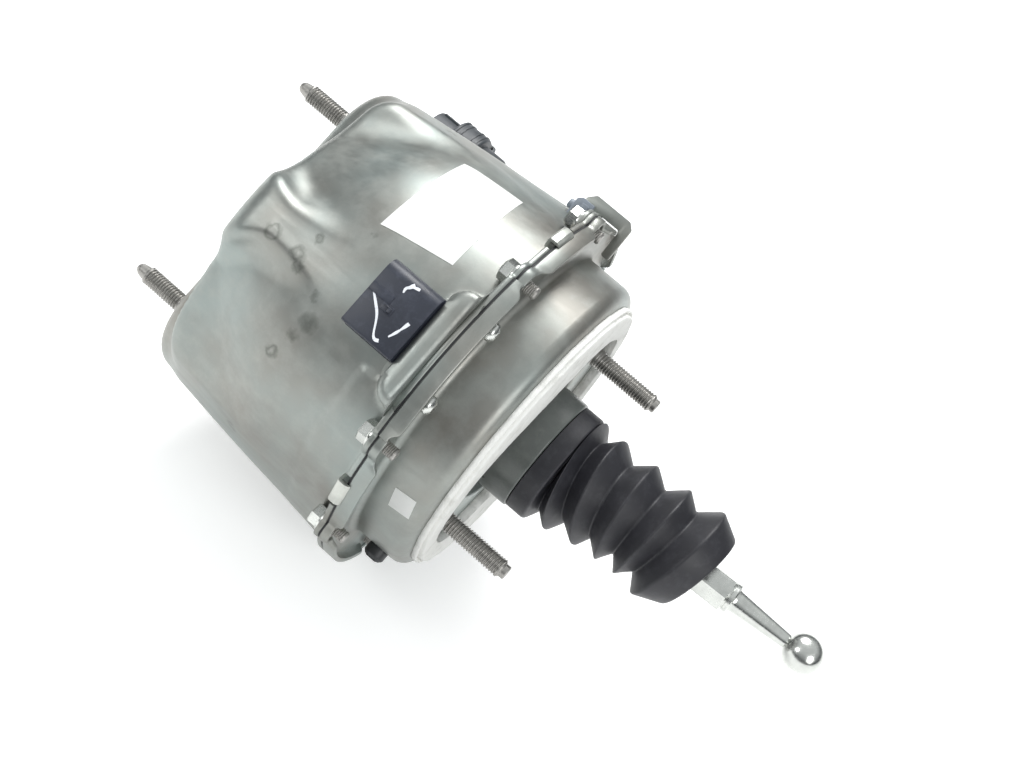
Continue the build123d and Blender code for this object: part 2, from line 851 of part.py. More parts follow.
# Motor plate: a casting that stands on the rear flange and carries motor and board
race_bore = race_outer + press
post_angles = (0, 90, 180, 270)
post_places = [spot(post_circle, a) for a in post_angles]
busbar_angles = (103, 117, 131)
busbar_circle = 45.6
carrier_screw_angles = [30 + 60 * index for index in range(6)]
carrier_screw_places = [spot(carrier_radius + 3.2, a) for a in carrier_screw_angles]
with BuildPart() as motor_plate:
    turned(
        [
            (plate_rear, spindle_radius + 1),
            (plate_rear, body_radius - sheet - 2.7),
            (rear_flange_front, body_radius - sheet - 2.7),
            (rear_flange_front, body_radius - sheet - soft_gap),
            (plate_front, body_radius - sheet - soft_gap),
            (plate_front, race_bore + 5),
            (nut_rear + 1, race_bore + 5),
            (nut_rear + 1, race_bore),
            (rear_race_y - soft_gap, race_bore),
            (rear_race_y - soft_gap, spindle_radius + 1),
        ]
    )
    pegs(board_front, plate_rear, post_radius, post_places)
    block(module_angle, 37, 59, -13, 13, board_front + 7.3, plate_rear)
    for rib_angle in (40, 75, 150, 200, 245, 290, 335):
        block(rib_angle, 24, 70, -1.2, 1.2, plate_rear - 2, plate_rear)
    block(bulge_angle, 60, 80, -16, 16, 20, plate_rear, Mode.SUBTRACT)
    block(power_angle, lead_circle - 2, 78, -7, 7, 20, plate_front + 1, Mode.SUBTRACT)
    for bar_angle in busbar_angles:
        block(bar_angle, busbar_circle - 2.5, busbar_circle + 2.5, -4.5, 4.5, plate_rear - 3, plate_front + 1, Mode.SUBTRACT)
    pegs(board_front - 1, board_front + 8, board_screw_radius + 0.05, post_places, Mode.SUBTRACT)
    pegs(plate_front - 5, plate_front + 1, 2.05, carrier_screw_places, Mode.SUBTRACT)

# Stator
with BuildPart() as stator_carrier:
    turned(
        [
            (plate_front, carrier_radius - carrier_wall),
            (plate_front, carrier_radius + 6),
            (plate_front + 4, carrier_radius + 6),
            (plate_front + 4, carrier_radius),
            (carrier_front, carrier_radius),
            (carrier_front, carrier_radius - carrier_wall),
        ]
    )
    pegs(plate_front - 1, plate_front + 5, 2.1, carrier_screw_places, Mode.SUBTRACT)

with BuildPart() as carrier_screws:
    pegs(plate_front - 4.5, plate_front + 4, 2.0, carrier_screw_places)
    pegs(plate_front + 4, plate_front + 7, 2.8, carrier_screw_places)

core_radius = carrier_radius - carrier_wall - 0.05
tooth_angles = [index * 360 / tooth_count for index in range(tooth_count)]
with BuildPart() as stator_core:
    with BuildSketch(across(core_front)):
        Circle(core_radius)
        Circle(yoke_inner, mode=Mode.SUBTRACT)
        for angle in tooth_angles:
            with Locations(spot((stator_bore + yoke_inner) / 2 + 1, angle)):
                Rectangle(yoke_inner - stator_bore, tooth_width, rotation=angle)
        Circle(stator_bore + shoe_height)
        for angle in tooth_angles:
            with Locations(spot(stator_bore + shoe_height / 2, angle + 180 / tooth_count)):
                Rectangle(shoe_height * 3, slot_opening, rotation=angle + 180 / tooth_count, mode=Mode.SUBTRACT)
        Circle(stator_bore, mode=Mode.SUBTRACT)
    extrude(amount=core_front - core_rear)

with BuildPart() as stator_coils:
    for angle in tooth_angles:
        with BuildSketch(side_plane(angle, stator_bore + shoe_height + 0.7)) as winding:
            with Locations(((core_rear + core_front) / 2, 0)):
                RectangleRounded(core_front - core_rear + 2 * coil_overhang, 19.6, 3.5)
                Rectangle(core_front - core_rear + 0.6, tooth_width + 0.6, mode=Mode.SUBTRACT)
        extrude(amount=yoke_inner - stator_bore - shoe_height - 1.9)

with BuildPart() as front_bearing_plate:
    turned(
        [
            (carrier_front, race_bore),
            (front_race_y + race_width + soft_gap, race_bore),
            (front_race_y + race_width + soft_gap, race_outer_bore + 0.5),
            (front_race_y + race_width + 1.6, race_outer_bore + 0.5),
            (front_race_y + race_width + 1.6, race_bore),
            (guide_plate_rear, race_bore),
            (guide_plate_rear, race_bore + 4.5),
            (carrier_front + 4, race_bore + 4.5),
            (carrier_front + 4, carrier_radius),
            (carrier_front, carrier_radius),
            (carrier_front, core_radius),
            (carrier_front - 3, core_radius),
            (carrier_front - 3, core_radius - 3),
            (carrier_front, core_radius - 3),
        ]
    )
    pegs(guide_plate_rear - 5, guide_plate_rear + 1, 1.55, [spot(33.3, a) for a in (45, 165, 285)], Mode.SUBTRACT)

# Guide plate whose lugs run in the spindle's grooves
with BuildPart() as guide_plate:
    ring(guide_plate_rear, guide_plate_front, spindle_radius + 0.2, guide_plate_radius + 1)
    for lug_angle in (0, 180):
        block(
            lug_angle,
            lug_reach,
            spindle_radius + 1,
            -lug_width / 2,
            lug_width / 2,
            guide_plate_rear,
            guide_plate_front,
        )
    pegs(guide_plate_rear - 1, guide_plate_front + 1, 1.6, [spot(33.3, a) for a in (45, 165, 285)], Mode.SUBTRACT)

with BuildPart() as guide_plate_screws:
    pegs(guide_plate_rear - 4.5, guide_plate_front, 1.5, [spot(33.3, a) for a in (45, 165, 285)])
    pegs(guide_plate_front, guide_plate_front + 1.8, 2.6, [spot(33.3, a) for a in (45, 165, 285)])

with BuildPart() as position_sensor:
    block(270, hub_journal + 4.6, race_outer - 0.6, -5, 5, front_race_y + race_width + 1.9, guide_plate_rear)

# Control board and its parts
with BuildPart() as control_board:
    with BuildSketch(across(board_front)):
        Circle(board_radius)
        Circle(board_hole, mode=Mode.SUBTRACT)
        with Locations(*post_places):
            Circle(board_screw_radius + 0.2, mode=Mode.SUBTRACT)
    extrude(amount=board_thickness)

with BuildPart() as board_screws:
    pegs(board_rear, board_front + 7, board_screw_radius, post_places)
    pegs(board_rear - 1.6, board_rear, 2.6, post_places)

with BuildPart() as capacitors:
    cap_places = [spot(capacitor_circle, a) for a in (190, 214, 238, 262)]
    pegs(board_front, board_front + capacitor_height, capacitor_radius, cap_places)

with BuildPart() as power_module:
    block(module_angle, 36, 60, -14, 14, board_front, board_front + 7)

with BuildPart() as filter_choke:
    with Locations(Location((46 * cos(radians(310)), board_front + 4.4, 46 * sin(radians(310))), (90, 0, 0))):
        Torus(8, 4.2)

with BuildPart() as board_chips:
    for chip_angle, chip_radius, chip_size in ((45, 47, 9), (70, 50, 6), (150, 48, 12), (200, 50, 7), (300, 47, 10)):
        half = chip_size / 2
        block(chip_angle, chip_radius - half, chip_radius + half, -half, half, board_rear - 1.8, board_rear)

with BuildPart() as phase_busbars:
    for bar_angle in busbar_angles:
        block(bar_angle, busbar_circle - 0.8, busbar_circle + 0.8, -3.5, 3.5, board_front, coil_rear - soft_gap)

with BuildPart() as stroke_sensor:
    block(270, sleeve_tube_radius + 0.05, 27, -6, 6, sleeve_seat + sleeve_flange + 0.5, sleeve_front - 1)

# Signal connector on the bulge, with its right-angle pins
lip_step = 0.05
with BuildPart() as signal_connector:
    block(
        bulge_angle,
        header_inner,
        bulge_distance - sheet - slip,
        -header_half_width,
        header_half_width,
        header_base_rear,
        bulge_front + lip_step,
    )
    block(
        bulge_angle,
        header_inner,
        header_outer,
        -header_half_width,
        header_half_width,
        bulge_front + lip_step,
        header_front,
    )
    fillet(
        signal_connector.edges().filter_by(Axis.Y).group_by(Axis((0, 0, 0), spot_direction(bulge_angle)))[-1], 1.6
    )
    block(
        bulge_angle,
        header_inner + header_wall,
        header_outer - header_wall,
        -header_half_width + header_wall,
        header_half_width - header_wall,
        header_floor - 2,
        header_front + 1,
        Mode.SUBTRACT,
    )
    for snap in (-1, 1):
        edge = snap * header_half_width
        block(
            bulge_angle,
            header_inner + 1.5,
            header_inner + 6.5,
            min(edge, edge + snap * 1.2),
            max(edge, edge + snap * 1.2),
            bulge_front - sheet - 3,
            bulge_front - sheet - soft_gap,
        )
    pin_columns = (-9.0, -3.0, 3.0, 9.0)
    pin_rows = (header_inner + 3.4, header_inner + 7.4)
    for row in pin_rows:
        for column in pin_columns:
            block(
                bulge_angle,
                row - pin_side / 2 - press,
                row + pin_side / 2 + press,
                column - pin_side / 2 - press,
                column + pin_side / 2 + press,
                header_base_rear - 1,
                header_floor,
                Mode.SUBTRACT,
            )

with BuildPart() as signal_pins:
    for row, turn_y, foot in ((pin_rows[0], 31.2, 57.2), (pin_rows[1], 28.9, 61.0)):
        for column in pin_columns:
            half = pin_side / 2
            block(bulge_angle, row - half, row + half, column - half, column + half, turn_y - half, pin_tip)
            block(bulge_angle, foot - half, row, column - half, column + half, turn_y - half, turn_y + half)
            block(bulge_angle, foot - half, foot + half, column - half, column + half, board_front, turn_y)

# Power connector, shaped to the shell under it
power_place = [spot(power_circle, power_angle)]
with BuildPart() as power_connector:
    pegs(power_rear, power_collar_rear, power_body_radius, power_place)
    pegs(power_collar_rear, power_collar_front, power_collar_radius, power_place)
    pegs(power_collar_front, power_front, power_nose_radius, power_place)
    block(power_angle, body_radius - 8, power_circle - 2, -11, 11, power_rear + 1, power_collar_front)
    add(front_form(-soft_gap), mode=Mode.SUBTRACT)
    block(
        power_angle,
        lead_circle + lead_radius + 0.4,
        power_circle,
        -neck_half_width,
        neck_half_width,
        neck_centre - neck_half_length,
        neck_centre + neck_half_length,
    )
    pegs(power_front - power_mouth_depth, power_front + 1, power_mouth_radius, power_place, Mode.SUBTRACT)
    for side in (-1, 1):
        block(
            power_angle,
            66,
            power_circle + 1.6,
            side * 3.2 - 0.6 - press,
            side * 3.2 + 0.6 + press,
            neck_centre - 5,
            neck_centre - 1,
            Mode.SUBTRACT,
        )
    block(power_angle, power_circle + 13, power_circle + 17.5, -4.5, 4.5, power_collar_rear - 1.5, power_collar_rear + 4)
    with BuildSketch(side_plane(power_angle, power_circle + 15.8)):
        with Locations((power_collar_rear + 1.2, 0)):
            Circle(1.6)
    extrude(amount=8, mode=Mode.SUBTRACT)

with BuildPart() as power_pins:
    for side in (-1, 1):
        low = side * 3.2 - 0.6
        block(power_angle, lead_circle - 1.6, power_circle + 1.6, low, low + 1.2, neck_centre - 5, neck_centre - 1)
        block(power_angle, power_circle - 1.6, power_circle + 1.6, low, low + 1.2, neck_centre - 1, power_front - 8)

# Leads from the power connector down to the board
with BuildPart() as power_leads:
    for side in (-1, 1):
        c, s = cos(radians(power_angle)), sin(radians(power_angle))
        top = (lead_circle * c - side * 3.2 * s, neck_centre - 5, lead_circle * s + side * 3.2 * c)
        corner = (top[0], rear_flange_front + lead_radius + 0.6, top[2])
        inner = (corner[0] - lead_step * c, corner[1], corner[2] - lead_step * s)
        end = (inner[0], board_front, inner[2])
        for start, finish in ((top, corner), (corner, inner), (inner, end)):
            reach = Vector(*finish) - Vector(*start)
            with BuildSketch(Plane(origin=start, z_dir=reach)):
                Circle(lead_radius)
            extrude(amount=reach.length)
        with Locations(corner, inner):
            Sphere(lead_radius)

# Bracket, bent from one sheet, with its clip
foot_inner = body_radius + 0.4
with BuildPart() as harness_bracket:
    with BuildSketch(radial_plane(bracket_angle)) as profile:
        with BuildLine():
            Polyline(
                (body_radius + soft_gap, flange_face),
                (body_radius + soft_gap, flange_face + 9),
                (bracket_reach - 3, flange_face + 9),
                (bracket_reach, flange_face + 6),
                (bracket_reach, rear_flange_rear - 5.7),
                (bracket_reach - 2.5, rear_flange_rear - 8.2),
                (bracket_reach - 17, rear_flange_rear - 8.2),
                (bracket_reach - 17, rear_flange_rear - 4.4),
                (bracket_reach - 5.5, rear_flange_rear - 4.4),
                (bracket_reach - 5.5, flange_face),
                close=True,
            )
        make_face()
    extrude(amount=bracket_sheet / 2, both=True)
    with BuildSketch(across(flange_face + bracket_sheet)) as foot:
        with BuildLine():
            Polyline(
                spot(foot_inner, bracket_angle - 0.5),
                spot(bracket_reach - 5.5, bracket_angle - 0.5),
                spot(screw_circle + 6.5, bracket_screw - 2),
                spot(screw_circle + 6.5, bracket_screw + 2),
                spot(screw_circle + 3, bracket_screw + 5),
                spot(screw_circle - 3, bracket_screw + 5),
                spot(foot_inner, bracket_screw + 3),
                spot(foot_inner, bracket_screw - 1),
                spot(foot_inner, bracket_screw - 5),
                spot(foot_inner, bracket_screw - 9),
                close=True,
            )
        make_face()
        Circle(body_radius + soft_gap, mode=Mode.SUBTRACT)
        with Locations(spot(screw_circle, bracket_screw)):
            Circle(screw_radius + 0.25, mode=Mode.SUBTRACT)
    extrude(amount=bracket_sheet)

with BuildPart() as bracket_clip:
    clip_inner = body_radius + 0.7
    clip_outer = bracket_reach - 4
    slot_half = bracket_sheet / 2 + slip
    block(bracket_angle, clip_inner, clip_outer, -2.4, 2.4, flange_face + 4, flange_face + 11.5)
    block(
        bracket_angle,
        clip_inner - 1,
        clip_outer + 1,
        -slot_half,
        slot_half,
        flange_face + 3,
        flange_face + 9 + slip,
        Mode.SUBTRACT,
    )
    with BuildSketch(across(flange_face + 13.5)):
        with Locations(spot((clip_inner + clip_outer) / 2, bracket_angle)):
            Circle(2)
    extrude(amount=2)

with BuildPart() as breather_vent:
    with BuildSketch(side_plane(222, dish_radius)):
        with Locations((12.5, 0)):
            Circle(4.5)
    extrude(amount=5)
    with BuildSketch(side_plane(222, dish_radius - sheet - 1.5)):
        with Locations((12.5, 0)):
            Circle(1.45)
    extrude(amount=sheet + 2)

# Labels and files
front_shell.part.label = "front_shell"
rear_shell.part.label = "rear_shell"
housing_seal.part.label = "housing_seal"
flange_screws.part.label = "flange_screws"
connector_rivets.part.label = "connector_rivets"
front_reinforcement.part.label = "front_reinforcement"
master_cylinder_studs.part.label = "master_cylinder_studs"
rear_reinforcement.part.label = "rear_reinforcement"
bulkhead_studs.part.label = "bulkhead_studs"
bulkhead_gasket.part.label = "bulkhead_gasket"
guide_sleeve.part.label = "guide_sleeve"
bellows.part.label = "bellows"
input_rod.part.label = "input_rod"
ball_stud.part.label = "ball_stud"
plunger.part.label = "plunger"
stroke_magnet.part.label = "stroke_magnet"
input_spring.part.label = "input_spring"
return_spring.part.label = "return_spring"
spring_seat.part.label = "spring_seat"
spindle.part.label = "spindle"
reaction_disc.part.label = "reaction_disc"
output_rod.part.label = "output_rod"
ball_nut.part.label = "ball_nut"
rotor_hub.part.label = "rotor_hub"
rotor_magnets.part.label = "rotor_magnets"
position_magnet_ring.part.label = "position_magnet_ring"
rear_outer_race.part.label = "rear_outer_race"
rear_inner_race.part.label = "rear_inner_race"
front_outer_race.part.label = "front_outer_race"
front_inner_race.part.label = "front_inner_race"
rear_bearing_balls.part.label = "rear_bearing_balls"
front_bearing_balls.part.label = "front_bearing_balls"
motor_plate.part.label = "motor_plate"
stator_carrier.part.label = "stator_carrier"
carrier_screws.part.label = "carrier_screws"
stator_core.part.label = "stator_core"
stator_coils.part.label = "stator_coils"
front_bearing_plate.part.label = "front_bearing_plate"
guide_plate.part.label = "guide_plate"
guide_plate_screws.part.label = "guide_plate_screws"
position_sensor.part.label = "position_sensor"
control_board.part.label = "control_board"
board_screws.part.label = "board_screws"
capacitors.part.label = "capacitors"
power_module.part.label = "power_module"
filter_choke.part.label = "filter_choke"
board_chips.part.label = "board_chips"
phase_busbars.part.label = "phase_busbars"
stroke_sensor.part.label = "stroke_sensor"
signal_connector.part.label = "signal_connector"
signal_pins.part.label = "signal_pins"
power_connector.part.label = "power_connector"
power_pins.part.label = "power_pins"
power_leads.part.label = "power_leads"
harness_bracket.part.label = "harness_bracket"
bracket_clip.part.label = "bracket_clip"
breather_vent.part.label = "breather_vent"
export_step(front_shell.part, "parts/front_shell.step")
export_step(rear_shell.part, "parts/rear_shell.step")
export_step(housing_seal.part, "parts/housing_seal.step")
export_step(flange_screws.part, "parts/flange_screws.step")
export_step(connector_rivets.part, "parts/connector_rivets.step")
export_step(front_reinforcement.part, "parts/front_reinforcement.step")
export_step(master_cylinder_studs.part, "parts/master_cylinder_studs.step")
export_step(rear_reinforcement.part, "parts/rear_reinforcement.step")
export_step(bulkhead_studs.part, "parts/bulkhead_studs.step")
export_step(bulkhead_gasket.part, "parts/bulkhead_gasket.step")
export_step(guide_sleeve.part, "parts/guide_sleeve.step")
export_step(bellows.part, "parts/bellows.step")
export_step(input_rod.part, "parts/input_rod.step")
export_step(ball_stud.part, "parts/ball_stud.step")
export_step(plunger.part, "parts/plunger.step")
export_step(stroke_magnet.part, "parts/stroke_magnet.step")
export_step(input_spring.part, "parts/input_spring.step")
export_step(return_spring.part, "parts/return_spring.step")
export_step(spring_seat.part, "parts/spring_seat.step")
export_step(spindle.part, "parts/spindle.step")
export_step(reaction_disc.part, "parts/reaction_disc.step")
export_step(output_rod.part, "parts/output_rod.step")
export_step(ball_nut.part, "parts/ball_nut.step")
export_step(rotor_hub.part, "parts/rotor_hub.step")
export_step(rotor_magnets.part, "parts/rotor_magnets.step")
export_step(position_magnet_ring.part, "parts/position_magnet_ring.step")
export_step(rear_outer_race.part, "parts/rear_outer_race.step")
export_step(rear_inner_race.part, "parts/rear_inner_race.step")
export_step(front_outer_race.part, "parts/front_outer_race.step")
export_step(front_inner_race.part, "parts/front_inner_race.step")
export_step(rear_bearing_balls.part, "parts/rear_bearing_balls.step")
export_step(front_bearing_balls.part, "parts/front_bearing_balls.step")
export_step(motor_plate.part, "parts/motor_plate.step")
export_step(stator_carrier.part, "parts/stator_carrier.step")
export_step(carrier_screws.part, "parts/carrier_screws.step")
export_step(stator_core.part, "parts/stator_core.step")
export_step(stator_coils.part, "parts/stator_coils.step")
export_step(front_bearing_plate.part, "parts/front_bearing_plate.step")
export_step(guide_plate.part, "parts/guide_plate.step")
export_step(guide_plate_screws.part, "parts/guide_plate_screws.step")
export_step(position_sensor.part, "parts/position_sensor.step")
export_step(control_board.part, "parts/control_board.step")
export_step(board_screws.part, "parts/board_screws.step")
export_step(capacitors.part, "parts/capacitors.step")
export_step(power_module.part, "parts/power_module.step")
export_step(filter_choke.part, "parts/filter_choke.step")
export_step(board_chips.part, "parts/board_chips.step")
export_step(phase_busbars.part, "parts/phase_busbars.step")
export_step(stroke_sensor.part, "parts/stroke_sensor.step")
export_step(signal_connector.part, "parts/signal_connector.step")
export_step(signal_pins.part, "parts/signal_pins.step")
export_step(power_connector.part, "parts/power_connector.step")
export_step(power_pins.part, "parts/power_pins.step")
export_step(power_leads.part, "parts/power_leads.step")
export_step(harness_bracket.part, "parts/harness_bracket.step")
export_step(bracket_clip.part, "parts/bracket_clip.step")
export_step(breather_vent.part, "parts/breather_vent.step")
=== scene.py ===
import json
import math

import bmesh
import bpy
import numpy as np
from mathutils import Matrix, Vector


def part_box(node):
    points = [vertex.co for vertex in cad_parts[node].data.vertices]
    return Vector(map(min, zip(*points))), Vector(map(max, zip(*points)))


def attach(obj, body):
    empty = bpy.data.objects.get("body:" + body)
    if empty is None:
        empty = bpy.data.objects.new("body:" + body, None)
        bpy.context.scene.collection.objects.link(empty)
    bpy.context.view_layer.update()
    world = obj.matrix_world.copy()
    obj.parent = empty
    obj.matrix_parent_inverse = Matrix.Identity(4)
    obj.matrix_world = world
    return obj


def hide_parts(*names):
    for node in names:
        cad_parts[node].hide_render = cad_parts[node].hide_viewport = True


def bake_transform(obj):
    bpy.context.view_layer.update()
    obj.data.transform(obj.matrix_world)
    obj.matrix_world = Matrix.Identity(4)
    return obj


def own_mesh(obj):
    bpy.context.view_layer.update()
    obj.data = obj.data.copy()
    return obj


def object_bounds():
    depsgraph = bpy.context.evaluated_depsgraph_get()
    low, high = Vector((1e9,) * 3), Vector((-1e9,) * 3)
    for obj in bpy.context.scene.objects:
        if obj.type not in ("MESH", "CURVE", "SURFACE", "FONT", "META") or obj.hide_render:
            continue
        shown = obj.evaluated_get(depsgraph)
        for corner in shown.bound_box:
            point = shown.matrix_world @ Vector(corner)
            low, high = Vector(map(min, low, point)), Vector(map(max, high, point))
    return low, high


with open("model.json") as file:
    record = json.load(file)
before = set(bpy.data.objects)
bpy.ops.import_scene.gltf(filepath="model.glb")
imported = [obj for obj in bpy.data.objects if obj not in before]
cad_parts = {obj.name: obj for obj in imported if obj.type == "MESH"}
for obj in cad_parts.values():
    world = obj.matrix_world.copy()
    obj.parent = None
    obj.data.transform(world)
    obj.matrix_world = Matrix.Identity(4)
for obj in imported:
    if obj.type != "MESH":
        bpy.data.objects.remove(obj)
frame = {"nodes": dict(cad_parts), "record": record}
cad_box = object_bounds()

bl_info = {
    "name": "Brake Booster",
    "version": (1, 0, 0),
    "blender": (4, 5, 0),
    "location": "3D View > Sidebar > Booster",
    "description": "Dresses the packed electric brake booster with its pressed, moulded and threaded surfaces",
    "category": "Object",
}

MM = 0.001
TAU = 2 * math.pi


def linear(code):
    """Linear red, green, blue and alpha of an sRGB hex colour."""
    channels = [int(code[i : i + 2], 16) / 255 for i in (1, 3, 5)]
    return tuple(c / 12.92 if c <= 0.04045 else ((c + 0.055) / 1.055) ** 2.4 for c in channels) + (1.0,)


def size(label, millimetres, note):
    """Length property in metres with its default given in millimetres."""
    return bpy.props.FloatProperty(name=label, description=note, default=millimetres * MM, unit="LENGTH", min=0.0)


def colour(label, code, note):
    """Colour property with its default given as a hex code."""
    return bpy.props.FloatVectorProperty(
        name=label, description=note, default=linear(code), size=4, subtype="COLOR", min=0.0, max=1.0
    )


class HousingSizes(bpy.types.PropertyGroup):
    body_radius: size("Body radius", 76.5, "Radius of the drawn front shell above its flange")
    nose_radius: size("Nose radius", 70.5, "Radius the body would have at the low front face")
    taper_start: size("Taper start", 74.0, "Where the body starts to narrow")
    low_face: size("Low front face", 125.0, "Front face beside the raised bridge")
    bridge_face: size("Bridge face", 133.5, "Raised face that the master cylinder sits on")
    bridge_length: size("Bridge half length", 70.5, "Half the length of the raised bridge")
    bridge_width: size("Bridge half width", 26.5, "Half the width of the raised bridge")
    dent_start: size("Dent start", 80.5, "Where the corner dents start on the body")
    dent_radius: size("Dent radius", 56.0, "Radius of the dent cone at the low face")
    dent_flank: size("Dent flank", 33.0, "Distance of the dents' sides from the bridge line")
    ridge_width: size("Ridge half width", 8.8, "Half the width of the ridge between two dents")
    ridge_shift: size("Ridge shift", 1.5, "How far the ridge sits off its line")
    bulge_distance: size("Bulge distance", 88.0, "Distance of the connector bulge's outer face from the axis")
    bulge_front: size("Bulge front", 40.0, "Front face of the connector bulge")
    bulge_width: size("Bulge half width", 25.0, "Half the width of the connector bulge")
    flange_radius: size("Flange radius", 85.0, "Radius of both flanges")
    ear_radius: size("Ear radius", 6.5, "Radius of the ear round each flange screw")
    screw_circle: size("Screw circle", 82.0, "Radius that the flange screws sit on")
    pad_radius: size("Pad radius", 90.0, "Radius of the flange beside the bulge")
    bore_radius: size("Bore radius", 22.0, "Radius of the bore for the master cylinder")
    sheet: size("Sheet", 2.0, "Thickness of the pressed sheet")


class RearSizes(bpy.types.PropertyGroup):
    dish_radius: size("Dish radius", 70.0, "Radius of the rear shell's dish")
    dish_corner: size("Dish corner", 6.0, "Radius of the dish's rear edge")
    pocket_radius: size("Pocket radius", 33.0, "Radius of the pocket round the sleeve")
    gasket_radius: size("Gasket radius", 65.0, "Radius of the foam gasket")
    stud_radius: size("Stud radius", 4.0, "Outer radius of the M8 studs")
    stud_pitch: size("Stud pitch", 1.25, "Pitch of the studs' thread")
    hex_flats: size("Hexagon", 13.0, "Across the flats of the ball end")
    ball_radius: size("Ball radius", 8.0, "Radius of the pedal ball")


class Finishes(bpy.types.PropertyGroup):
    shell: colour("Shell steel", "#949C99", "Dull zinc plating of the pressed shells")
    plated: colour("Plated steel", "#C9CBC7", "Bright zinc plating of screws and rod end")
    stud: colour("Stud steel", "#A09E9A", "Dark zinc plating of the studs")
    rubber: colour("Rubber", "#1D1D23", "Moulded rubber of the bellows")
    foam: colour("Foam", "#F0F0EC", "Closed-cell foam of the gasket")
    sleeve: colour("Sleeve plastic", "#555956", "Glass-filled plastic of the guide sleeve")
    header: colour("Signal connector", "#2B2F3A", "Blue-black plastic of the signal connector")
    socket: colour("Power connector", "#3C4044", "Dark grey plastic of the power connector")
    clip: colour("Clip plastic", "#89919B", "Bluish grey plastic of the bracket's clip")
    label: colour("Label", "#E6E7E4", "Blank white film of the labels")
    floor: colour("Floor", "#F4F4F3", "Pale floor under the booster")


# Values that the shapes share, in millimetres
BRIDGE_ANGLE = 45.0
BULGE_ANGLE = 135.0
BULGE_SHIFT = 2.0
FLANGE_FACE = 30.0
REAR_FLANGE_FRONT = 27.2
REAR_FLANGE_REAR = 25.2
LIP_REAR = 21.2
SCREW_OFFSET = 18.0
POWER_ANGLE = 12.0
BRACKET_ANGLE = 58.0
REAR_STUD_ANGLE = 24.6
VENT_ANGLE = 222.0
ROD_PIVOT = 7.0
ROD_TILT = 3.4
FRONT_STUD_CIRCLE = 49.8
REAR_STUD_CIRCLE = 47.3
QUARTERS = (0, 90, 180, 270)
SCREW_ANGLES = [quarter + side for quarter in QUARTERS for side in (-SCREW_OFFSET, SCREW_OFFSET)]


def mm(value):
    """Property value in millimetres."""
    return value / MM


# Shapes as distance fields: negative inside, in millimetres


def round_max(a, b, radius):
    """Meeting of two solids with a convex edge of that radius."""
    u, v = np.maximum(radius + a, 0), np.maximum(radius + b, 0)
    return np.minimum(-radius, np.maximum(a, b)) + np.hypot(u, v)


def round_min(a, b, radius):
    """Union of two solids with a hollow fillet of that radius."""
    u, v = np.maximum(radius - a, 0), np.maximum(radius - b, 0)
    return np.maximum(radius, np.minimum(a, b)) - np.hypot(u, v)


def soft_step(t):
    """Smooth step from 0 to 1 while t goes from -1 to 1."""
    t = np.clip(t / 2 + 0.5, 0, 1)
    return t * t * (3 - 2 * t)


def front_field(p, h, flanged=True):
    """Distance field of the drawn front shell's outside, with the fillets of a pressing."""
    x, y, z = p[..., 0], p[..., 1], p[..., 2]
    r = np.hypot(x, z)
    turn = np.degrees(np.arctan2(z, x)) % 360
    c, s = math.cos(math.radians(BRIDGE_ANGLE)), math.sin(math.radians(BRIDGE_ANGLE))
    along, across = x * c + z * s, z * c - x * s
    body, nose, start, low = mm(h.body_radius), mm(h.nose_radius), mm(h.taper_start), mm(h.low_face)
    slope = (body - nose) / (low - start)
    bend = 12.0
    past = (y - start + np.sqrt((y - start) ** 2 + bend**2)) / 2 - bend / 2 * 0.25
    # the press leaves a slightly wider band near the flange, with a short step at its front
    step = 0.9 * soft_step((49.6 + 0.02 * (turn - 160) - y) / 1.3)
    step = step * soft_step((turn - 151) / 1.2) * soft_step((236 - turn) / 6.0)
    wall = (r - body - step + slope * np.maximum(past, 0)) / math.hypot(1, slope)
    shoulder, valley, dent_edge, bridge_edge, bridge_foot = 9.0, 8.0, 4.0, 7.5, 4.0
    bulge_edge, bulge_top, bulge_foot, flange_foot = 8.0, 3.0, 1.8, 2.2
    form = round_max(wall, y - low, shoulder)
    steep = (body - mm(h.dent_radius)) / (low - mm(h.dent_start))
    cone = (r - body + steep * (y - mm(h.dent_start))) / math.hypot(1, steep)
    depth = np.maximum(-wall, 0)
    # the lobe's flank beside the near ridge is a gentle slope, the other flanks are steep
    gentle = soft_step(-along / 12) * soft_step(across / 12)
    slab = np.abs(across) - mm(h.dent_flank) - depth * (0.15 + 0.8 * gentle)
    flare = soft_step((y - 115) / 9)
    ridge = np.abs(along + mm(h.ridge_shift) + 2.0 * flare) - mm(h.ridge_width) - 6.0 * flare - 0.3 * depth
    corner = np.maximum(-along, across)
    kept = np.minimum(np.minimum(slab, ridge), corner)
    form = round_max(form, round_min(cone, kept, valley), dent_edge)
    reach = mm(h.bridge_length) - mm(h.bridge_width)
    top = mm(h.bridge_face)
    draft = math.radians(6.7)
    slot = np.hypot(np.maximum(np.abs(along) - reach, 0), across) - mm(h.bridge_width)
    bridge = round_max((slot - (top - y) * math.tan(draft)) * math.cos(draft), y - top, bridge_edge)
    form = round_min(form, bridge, bridge_foot)
    side = np.abs(along + BULGE_SHIFT) - mm(h.bulge_width)
    bulge = round_max(round_max(side, y - mm(h.bulge_front), bulge_edge), across - mm(h.bulge_distance), bulge_top)
    form = round_min(form, np.maximum(bulge, 10 - across), bulge_foot)
    return round_min(form, y - FLANGE_FACE, flange_foot) if flanged else form


def slope_of(field, p, step=0.05):
    """Gradient of a distance field at each point."""
    parts = []
    for axis in range(3):
        move = np.zeros(3)
        move[axis] = step
        parts.append((field(p + move) - field(p - move)) / (2 * step))
    g = np.stack(parts, -1)
    return g / np.maximum(np.linalg.norm(g, axis=-1, keepdims=True), 1e-9)


def meet(field, start, direction, steps=70):
    """Where rays from outside first meet the zero surface of a distance field."""
    p = start.copy()
    for _ in range(steps):
        p += direction * (field(p) * 0.8)[..., None]
    return p


